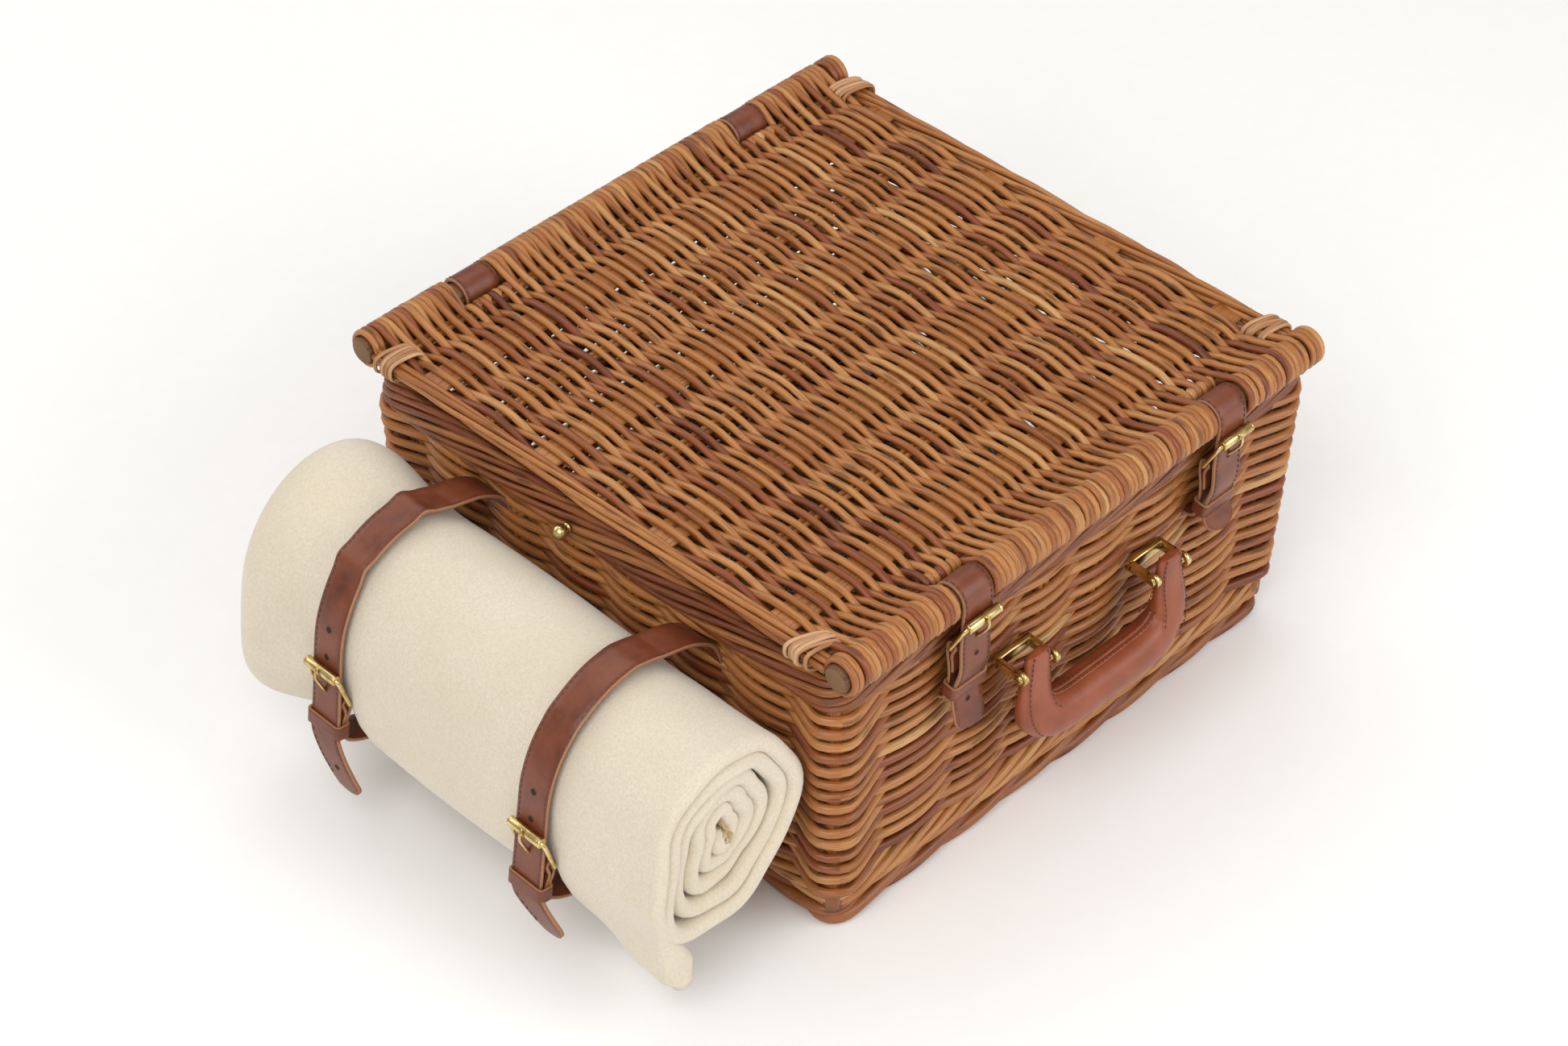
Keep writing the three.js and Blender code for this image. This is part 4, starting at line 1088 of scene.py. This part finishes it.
def closure_ways(t):
    """Point on the closure arc at t, the way to the tip, and the way out."""
    a = CLOSURE_START + t / CLOSURE_RADIUS
    point = np.array([0, STICK_Y - CLOSURE_RADIUS * np.cos(a), STICK_Z - CLOSURE_RADIUS * np.sin(a)])
    return point, np.array([0, np.sin(a), -np.cos(a)]), np.array([0, -np.cos(a), -np.sin(a)])


for side, x in zip(("left", "right"), CLOSURES_X):
    closure_strap(side, x)
    closure_chape(side, x)
    point, tipward, outward = closure_ways(59.0)
    keeper_loop(f"closure_keeper_{side}", point + X * x, X, outward, tipward)

# %% [markdown]
# ## Hinge loops
# Two leather loops hold the lid's back stick to the back border. Each is one closed band, sewn at both edges.

# %% Make the hinge loops
def hinge_loop(side, x):
    """One band: over the back stick, down, and round under the back border."""
    top, foot = np.radians(np.linspace(0, 180, 15)), np.radians(np.linspace(180, 360, 15))
    yz = np.concatenate([np.stack([STICK_Y + 11 * np.cos(top), STICK_Z + 11 * np.sin(top)], 1),
                         np.stack([STICK_Y + 11 * np.cos(foot), 192 + 11 * np.sin(foot)], 1)])
    line = np.column_stack([np.full(len(yz), x), yz])
    line = resample(np.vstack([line, line[:1]]), 2.4)[:-1]
    parts = [(ribbon(line, X, 13.5, 2.7, closed=True), LEATHERS, 0.5)]
    parts += stitched(line, X, 13.5, 1.34, 0.5, 0.5)
    leather_piece(f"hinge_loop_{side}", parts)


for side, x in zip(("left", "right"), LOOPS_X):
    hinge_loop(side, x)

# %% [markdown]
# ## Blanket straps
# These come out of the left wall, pass over the roll on an oval, and run straight down to the buckle. The
# chape starts inside the wall, passes under the roll and comes up to hold the buckle's heel bar.

# %% Blanket strap coordinates
ROLL_X, ROLL_Z, ROLL_HALF_WIDE, ROLL_HALF_HIGH = -276.5, 133.0, 66.5, 76.0
ROLL_FRONT, ROLL_BACK = -183.0, 178.0
STRAP_GAP = 1.65
STRAPS_Y = {"front": -90.0, "back": 94.0}
ROLLER_DOWN = {"front": 21.0, "back": 18.0}
STRAP_ON, STRAP_OFF = np.radians(67.1), np.radians(170.4)
STRAIGHT_RUN = 68.0
TAIL_END = {"front": (-350.0, -22.0, 52.0), "back": (-350.0, -18.0, 35.0)}


def roll_point(a, gap=STRAP_GAP):
    """Points (x, z) at angles a on the oval that runs `gap` outside the roll."""
    return np.stack([ROLL_X + (ROLL_HALF_WIDE + gap) * np.cos(a),
                     ROLL_Z + (ROLL_HALF_HIGH + gap) * np.sin(a)], axis=-1)


def roll_way(a):
    """The way round that oval at angles a, of length 1."""
    return unit(np.stack([-(ROLL_HALF_WIDE + STRAP_GAP) * np.sin(a),
                          (ROLL_HALF_HIGH + STRAP_GAP) * np.cos(a)], axis=-1))


DOWN = roll_way(STRAP_OFF)
OUT = np.array([DOWN[1], -DOWN[0]])
DOWN_WAY, OUT_WAY = np.array([DOWN[0], 0, DOWN[1]]), np.array([OUT[0], 0, OUT[1]])
LEAVE = roll_point(STRAP_OFF)


def beside(side, t, n):
    """A point (x, z) beside the straight run: t down it from the roller, n outwards."""
    return LEAVE + DOWN * (ROLLER_DOWN[side] + t) + OUT * n


def upright_plane(flat, y):
    """Points (x, z) set in the plane at y."""
    return np.column_stack([flat[:, 0], np.full(len(flat), y), flat[:, 1]])


print("straight run starts at", LEAVE.round(1), "and goes", DOWN.round(3))

# %% Make the blanket straps, chapes and keepers
def blanket_strap(side, y):
    """Over the roll with two small ripples, straight down past the buckle, and a tail that leans forwards."""
    on_roll = np.linspace(STRAP_ON, STRAP_OFF, 60)
    lifted = 3.2 if side == "back" else 0.8
    first, second = (np.exp(-(np.degrees(on_roll - place) / 5.0) ** 2) for place in (1.50, 2.22))
    over_roll = roll_point(on_roll, STRAP_GAP + lifted * (first + 0.8 * second))
    bend = LEAVE + DOWN * STRAIGHT_RUN
    f = np.linspace(0, 1, 12)[1:, None]
    end_x, lean, end_z = TAIL_END[side]
    control = bend + DOWN * 0.4 * (bend[1] - end_z)
    tail = bend * (1 - f) ** 2 + control * 2 * f * (1 - f) + np.array([end_x, end_z]) * f ** 2
    knots = [(-203, 160), (-206, 175), (-212, 187.5), (-226, 197.5), (-240, 202), over_roll[0]]
    start = smooth_line(knots, 30)
    flat = np.vstack([start[:-1], over_roll, bend, tail])
    line = upright_plane(flat, y)
    line[-11:, 1] += lean * f[:, 0] ** 1.15
    to_tip = STRAIGHT_RUN - ROLLER_DOWN[side] + run_along(line[-12:])[-1]
    line = resample(line, 1.3)
    line[:, 1] += drift(np.random.default_rng(int(y) + 200), 1, len(line), 9, 0.5)[0]
    parts = [(ribbon(line, Y, tongue(line)), LEATHERS, 0.5)]
    parts += stitched(line, Y, STRAP_HALF, -1.22, 66.0, 16.0)
    parts += eyelets(line, Y, -1.24, ([22] if side == "back" else []) + [to_tip + 9, to_tip + 29])
    leather_piece(f"blanket_strap_{side}", parts)


def blanket_chape(side, y):
    """From inside the wall, under the roll, up to the heel bar, round it and back a little."""
    a = np.radians(np.linspace(-90, -270, 9))
    heel = np.array([beside(side, HEEL_AT + 3 * np.cos(b), HEEL_IN + 3 * np.sin(b)) for b in a])
    last = roll_point(np.radians(300))
    into = roll_way(np.radians(300))
    under = np.vstack([[last + into * 60, last + into * 30], roll_point(np.radians(np.linspace(300, 262, 5))),
                       [(-306, 58), (-322, 62), (-336, 67.5), (-345.5, 74)],
                       [beside(side, 47, -4.9), beside(side, 38, -6.3), beside(side, 31, -8.8)]])
    front = np.array([beside(side, 31, -5.8), beside(side, 37, -4.3), beside(side, 42, -3.4)])
    line = resample(upright_plane(smooth_line(np.vstack([under, heel, front]), 150), y), 1.5)
    leather_piece(f"blanket_chape_{side}", [(ribbon(line, Y, STRAP_HALF - 0.3, 2.2), LEATHERS, 0.5)])


for side, y in STRAPS_Y.items():
    blanket_strap(side, y)
    blanket_chape(side, y)
    x, z = beside(side, 43.0, 0.0)
    keeper_loop(f"blanket_keeper_{side}", np.array([x, y, z]), Y, OUT_WAY, DOWN_WAY)

# %% [markdown]
# ## Buckles
# A roller buckle is a wire frame bent to a rectangle, a rolled sheet tube that turns on its front bar, and a
# prong bent round its heel bar. Each of the three turns on its own, so they are three pieces. Their places
# come from the joints: the roller turns about the front bar, and the frame about the heel bar.

# %% Make the buckles
def brass_piece(node, ending, body, skins):
    """A piece of plain brass that stands for one CAD node."""
    put_piece(f"{node}_{ending}", [(skin, brass, 0.5) for skin in skins], body, [node])


def buckle(kind, side, across, tipward, outward):
    """Frame, roller and prong, in the plane of tipward and outward, with across along the bars."""
    spin = joints[f"{kind}_roller_spin_{side}"]
    hinge = joints[f"{kind}_buckle_hinge_{side}"]
    front = np.array(spin["pos_m"]) / MM
    heel = np.array(hinge["pos_m"]) / MM
    run = heel - front
    length = np.linalg.norm(run)
    run = run / length
    flat = rounded_box(0.0, length, -15.5, 15.5, 3.2, 6)
    loop = front + flat[:, :1] * run + flat[:, 1:] * across
    loop = resample(np.vstack([loop, loop[:1]]), 1.6)[:-1]
    wire = sweep(loop[None], np.cross(run, across), 1.5, 1.6, circle(12), closed=True)
    brass_piece(f"{kind}_buckle_frame_{side}", "wire", f"{kind}_buckle_frame_{side}", [wire])
    s = np.array([-13.8, -13.7, -13.2, -12.6, -12.2, -11.8, 11.8, 12.2, 12.6, 13.2, 13.7, 13.8])
    radius = 1.1 * np.array([2.4, 2.8, 3.0, 3.0, 2.85, 3.0, 3.0, 2.85, 3.0, 3.0, 2.8, 2.4])
    tube = (front + s[:, None] * across)[None]
    brass_piece(f"{kind}_roller_{side}", "tube", f"{kind}_roller_{side}",
                [sweep(tube, outward, radius, radius, circle(24))])
    t_heel, n_heel = (heel - front) @ tipward, (heel - front) @ outward
    knots = [(t_heel - 1.4, n_heel + 2.6), (t_heel * 0.72, n_heel + 7.2), (t_heel * 0.4, 1.3),
             (t_heel * 0.16, 4.6), (-0.5, 4.75), (-4.4, 3.2)]
    shank = smooth_line(knots, 26)
    line = front + shank[:, :1] * tipward + shank[:, 1:] * outward
    taper = np.linspace(1.45, 0.95, 26)
    taper[-3:] = [0.9, 0.75, 0.45]
    eye_angle = np.radians(np.linspace(0, 360, 20, endpoint=False))
    eye = heel + 2.55 * (np.cos(eye_angle)[:, None] * tipward + np.sin(eye_angle)[:, None] * outward)
    brass_piece(f"{kind}_prong_{side}", "pin", f"{kind}_prong_{side}",
                [sweep(line[None], across, taper, taper * 0.85, circle(10)),
                 sweep(eye[None], across, 1.5, 0.75, circle(8, 0.8), closed=True)])


_, closure_tipward, closure_outward = closure_ways(0.0)
for side in ("left", "right"):
    buckle("closure", side, X, closure_tipward, closure_outward)
for side in ("front", "back"):
    buckle("blanket", side, -Y, DOWN_WAY, OUT_WAY)

# %% [markdown]
# ## The handle
# The grip is leather sewn round a stuffed core. It is lofted: an outline is carried along a D-shaped line and
# grows from a flat tab at each pin to a full round in the middle. A seam runs along its inner side.

# %% Make the grip
PIN_Y, PIN_Z = -222.0, 148.0
STATIONS = np.array([
    (-60, 160.2, 3.5, 2.0), (-60, 159.6, 7.5, 3.2), (-60, 157, 10, 3.8), (-60, 148, 11, 4.0),
    (-61, 135, 12.4, 5.0), (-61.5, 122, 13.6, 7.5), (-58.5, 110, 14.6, 10.2), (-50, 102, 14.8, 12.4),
    (-38, 98.5, 14.4, 13.6), (-20, 98, 14, 14)])
mirrored = STATIONS[::-1] * np.array([-1, 1, 1, 1])
grip = smooth_line(np.vstack([STATIONS, mirrored]), 130)
grip_line = np.column_stack([grip[:, 0], np.full(len(grip), PIN_Y), grip[:, 1]])
grip_part = sweep(grip_line[None], Y, grip[:, 3], grip[:, 2], circle(28, 0.86))
seam_way = unit(np.cross(np.gradient(grip_line, axis=0), Y))
seam_line = grip_line + seam_way * (grip[:, 2] - 0.1)[:, None]
seam = seam_line[26:-26]


def tab_stitches(side_y):
    """Stitches along both flat tabs, inside their edges, on the side that faces side_y."""
    tabs = []
    for chosen in (slice(3, 34), slice(-34, -3)):
        for edge in (-1, 1):
            reach = (grip[chosen, 2] * 0.72)[:, None]
            off_face = (grip[chosen, 3] * 0.93)[:, None]
            face = grip_line[chosen] + seam_way[chosen] * edge * reach + Y * side_y * off_face
            tabs.append((stitches(face, seam_way[chosen].mean(axis=0), 0.1, 0.0, 3.6), thread, 0.5))
    return tabs


grip_parts = [(grip_part, handle_leather, 0.5)]
grip_parts += [(sweep(seam[None] + Y * shift, Y, 1.5, 0.9, circle(8)), handle_leather, 0.5)
               for shift in (-1.5, 1.5)]
grip_parts += [(stitches(seam + Y * shift, Y, 0.9, 0.0, 3.6), thread, 0.5) for shift in (-2.3, 2.3)]
grip_parts += tab_stitches(-1) + tab_stitches(1)
put_piece("handle_grip_leather", grip_parts, "handle", ["handle_grip"])

# %% [markdown]
# The handle swings on two cast brackets. Each has a base bar against the wall and two arms, rounded at the
# ends, that hold a pin with domed heads.

# %% Make the brackets and pins
def bracket(side, x):
    """A base bar and two arms. An arm is straight, then rounded about the pin."""
    bar = level_path(x + np.array([-15.5, -15.2, -14.4, 14.4, 15.2, 15.5]), -202.6, PIN_Z)
    bar_size = np.array([0.7, 0.9, 1.0, 1.0, 0.9, 0.7])
    skins = [sweep(bar, Y, 2.9 * bar_size, 4.6 * bar_size, circle(24, 0.6))]
    end = np.radians(np.linspace(-42, 88, 12))
    y = np.concatenate([np.linspace(-203.5, -218.5, 8), PIN_Y - 5.2 * np.sin(end)])
    height = np.concatenate([np.linspace(4.3, 3.6, 8), 5.2 * np.cos(end)])
    for edge in (-1, 1):
        arm = np.column_stack([np.full(20, x + edge * 14.0), y, np.full(20, PIN_Z)])[None]
        skins.append(sweep(arm, X, 1.9, height, circle(20, 0.55)))
    brass_piece(f"handle_bracket_{side}", "cast", "basket", skins)


def pin(side, x):
    """A bar with a domed head at each end; each head's driver slot is a thin near-black bar laid on it, as
    painted shade.
    """
    s = np.array([-17.4, -17.3, -16.9, -16.1, -15.7, -15.6, 15.6, 15.7, 16.1, 16.9, 17.3, 17.4])
    radius = np.array([0.8, 1.8, 2.7, 3.1, 3.1, 2.1, 2.1, 3.1, 3.1, 2.7, 1.8, 0.8])
    line = level_path(x + s, PIN_Y, PIN_Z)
    # The slots are painted shade: thin bars in the near-black hole finish, laid across the domed heads.
    slots = np.array([[(x + edge * 17.3, PIN_Y + end, PIN_Z) for end in (-2.4, 2.4)] for edge in (-1, 1)])
    put_piece(f"handle_pin_{side}_screw",
              [(sweep(line, Y, radius, radius, circle(24)), brass, 0.5),
               (sweep(slots, Z, 0.45, 0.3, circle(4)), hole_and_slot_shade, 0.5)],
              "basket", [f"handle_pin_{side}"])


for side, x in (("left", -60.0), ("right", 60.0)):
    bracket(side, x)
    pin(side, x)

# %% Turn the side stud
ball = np.radians(np.linspace(28, 178, 16))
stud_s = np.concatenate([[0, 1.0, 2.4, 3.2], 6.3 - 5.0 * np.cos(ball)])
stud_r = np.concatenate([[3.4, 3.4, 2.1, 2.1], 5.0 * np.sin(ball)])
stud_line = level_path(-213.0 - stud_s, 20.0, 204.0)
brass_piece("side_stud", "ball", "basket", [sweep(stud_line, Y, stud_r, stud_r, circle(28))])

# %% [markdown]
# ## The rolled blanket
# A rolled blanket is one thick sheet wound in a spiral, so it is made as one: its section is a closed outline
# as long as the roll, and that outline is carried round an oval spiral from the outer end to the core. The
# spiral is worked out for every place along the roll, so the ends can flare, the straps can bite in, and the
# loose outer corner can hang from the front end.

# %% Wind the blanket
FLEECE_HALF = 5.2
TURNS = 5.2
OUTER_END = np.radians(242.0)
LOOSE_FROM = np.radians(194.0)
HANG_LENGTH = 82.0


def blanket_section(count):
    """Outline of the sheet across its width: shares along the roll, and the side (+1 out, -1 in)."""
    share = 0.5 - 0.5 * np.cos(np.pi * np.linspace(0.06, 0.94, count))
    share = (share - share[0]) / (share[-1] - share[0])
    a = np.radians(np.array([-67.5, -45, -22.5, 0, 22.5, 45, 67.5]))
    shares = np.concatenate([share, np.ones(7), share[::-1], np.zeros(7)])
    past = np.concatenate([np.zeros(count), np.cos(a), np.zeros(count), -np.cos(a)])
    sides = np.concatenate([-np.ones(count), np.sin(a), np.ones(count), -np.sin(a)])
    return shares, past, sides


def step(value):
    """0 to 1, smoothly, as value goes from 0 to 1."""
    value = np.clip(value, 0, 1)
    return value * value * (3 - 2 * value)


shares, past, sides = blanket_section(44)
wound = np.concatenate([np.linspace(0, 0.16, 26, endpoint=False), np.linspace(0.16, TURNS, 340)])
angle = (OUTER_END - 2 * np.pi * wound)[:, None]
turn_share = (wound / TURNS)[:, None]
fleece_rng = np.random.default_rng(91)


def wander_along(knots, size):
    """One wandering number for each place along the wound line, as a column."""
    return drift(fleece_rng, 1, len(wound), knots, size).T


front_edge = ROLL_FRONT + 4.5 + 7.0 * turn_share + wander_along(30, 2.6)
back_edge = ROLL_BACK - 4.5 - 9.0 * (1 - turn_share) ** 3 + wander_along(22, 1.5)
along_y = front_edge + (back_edge - front_edge) * shares + past * FLEECE_HALF
at_front = step((-106.0 - along_y) / 54.0)
flare = step((along_y - 112.0) / 50.0)
closing = np.clip((along_y - 154.0) / 28.0, 0, 1.1) ** 2
bite = sum(np.exp(-((along_y - y) / 15.0) ** 2) for y in STRAPS_Y.values())
swell = 1 + 0.14 * flare - 0.10 * closing - 0.012 * bite + 0.010 * np.sin(along_y / 31.0 + 2 * angle)
below_left = np.mod(angle - np.radians(222.0) + np.pi, 2 * np.pi) - np.pi
sag = (16.0 - 10.0 * bite) * np.exp(-(below_left / np.radians(26.0)) ** 2) * (1 - turn_share) ** 1.3

oval_a = ROLL_HALF_WIDE - FLEECE_HALF - 0.8 - 60.0 * turn_share
oval_b = ROLL_HALF_HIGH - FLEECE_HALF - 0.8 - 62.5 * turn_share
fold = 3.0 * np.sin(3 * angle + 0.7 + turn_share) + 1.3 * np.sin(5 * angle + 2.0)
fold = fold + 0.8 * np.sin(8 * angle + 0.4)
fold = at_front * fold * (0.3 + 0.7 * (1 - turn_share))
fold = fold + sag + at_front * wander_along(44, 0.8)
loose = np.clip((angle - LOOSE_FROM) / (OUTER_END - LOOSE_FROM), 0, 1) * (turn_share < 0.2)
round_x = (oval_a + fold) * swell * np.cos(angle)
round_z = (oval_b + fold) * swell * np.sin(angle)
edge_x, edge_z = oval_a[0, 0] * np.cos(LOOSE_FROM), oval_b[0, 0] * np.sin(LOOSE_FROM)
way = unit(np.array([-oval_a[0, 0] * np.sin(LOOSE_FROM), oval_b[0, 0] * np.cos(LOOSE_FROM)]))
hang_x = edge_x + way[0] * HANG_LENGTH * loose + 5.0 * loose ** 2
hang_z = edge_z + way[1] * HANG_LENGTH * loose
hanging = at_front * (loose > 0)
centre_x = ROLL_X - 5.0 * flare + round_x * (1 - hanging) + hang_x * hanging
centre_z = ROLL_Z + 5.0 * flare + round_z * (1 - hanging) + hang_z * hanging
spiral = np.stack([centre_x, along_y, centre_z], axis=2)

tangent = unit(np.gradient(spiral, axis=0) * np.array([1, 0, 1]))
outward = np.stack([-tangent[..., 2], np.zeros_like(along_y), tangent[..., 0]], axis=2)
lip = FLEECE_HALF + 0.7 * np.exp(-((along_y - front_edge) / 9.0) ** 2)
lip = lip + 7.5 * hanging * step(loose * 1.6 - 0.5)
from_start = np.arange(len(wound))
end_taper = np.sqrt(np.clip(np.minimum(from_start, from_start[::-1]) / 4.0, 0.3, 1))[:, None]
skin = spiral + outward * (sides * lip * end_taper)[..., None]
sheet_long = float(run_along(spiral[:, 0])[-1])
print("blanket", round(float(np.ptp(along_y[0]))), "mm wide and", round(sheet_long), "mm long")

# %% Turn the wound grid into a closed mesh
def closed_grid(grid):
    """A tube from a grid (M, J, 3) closed in J, with its two end rows filled by one face each."""
    rows, ring = grid.shape[:2]
    number = np.arange(rows * ring).reshape(rows, ring)
    turn = np.roll(number, -1, axis=1)
    quads = np.stack([number[:-1], turn[:-1], turn[1:], number[1:]], axis=-1).reshape(-1, 4)
    caps = np.stack([number[0, ::-1], number[-1]])
    flat = grid.reshape(-1, 3)
    faces = [(indices, flat[indices][..., :2] * MM, 0) for indices in (quads, caps)]
    return {"points": flat, "faces": faces, "rods": 1, "each": rows * ring}


blanket = put_piece("rolled_blanket", [(closed_grid(skin), fleece, 0.5)], "blanket",
                    ["blanket_roll"])

# %% [markdown]
# The blanket's short end is bound with a woven tape. It shows only in the core, at the front.

# %% Bind the inner end with tape
core = spiral[-46:-2, 0].copy()
core[:, 1] = ROLL_FRONT + 11.0 + 1.5 * np.sin(np.linspace(0, 5, len(core)))
toward_middle = -outward[-46:-2, 0] * np.sign(np.sum(outward[-1, 0] * (spiral[-1, 0] - [ROLL_X, 0, ROLL_Z])))
core = resample(core + toward_middle * (FLEECE_HALF + 0.6), 1.6)
hem = put_piece("blanket_hem_tape", [(sweep(core[None], Y, 6.0, 0.9, circle(14, 0.6)), tape, 0.5)],
                "blanket")

# %% [markdown]
# ## The floor
# A plain pale floor, much larger than the picture, so that no edge shows.

# %% Lay the floor
floor_mesh = bpy.data.meshes.new("floor")
reach = np.linspace(-4.0, 4.0, 3)
grid_x, grid_y = np.meshgrid(reach, reach)
corners = np.stack([grid_x.ravel(), grid_y.ravel(), np.full(9, -0.0005)], axis=1)
floor_mesh.from_pydata(corners.tolist(), [], [(0, 1, 4, 3), (1, 2, 5, 4), (3, 4, 7, 6), (4, 5, 8, 7)])
floor_mesh.materials.append(floor_finish)
floor = bpy.data.objects.new("floor", floor_mesh)
bpy.context.scene.collection.objects.link(floor)
print("floor", [round(value, 2) for value in floor.dimensions])
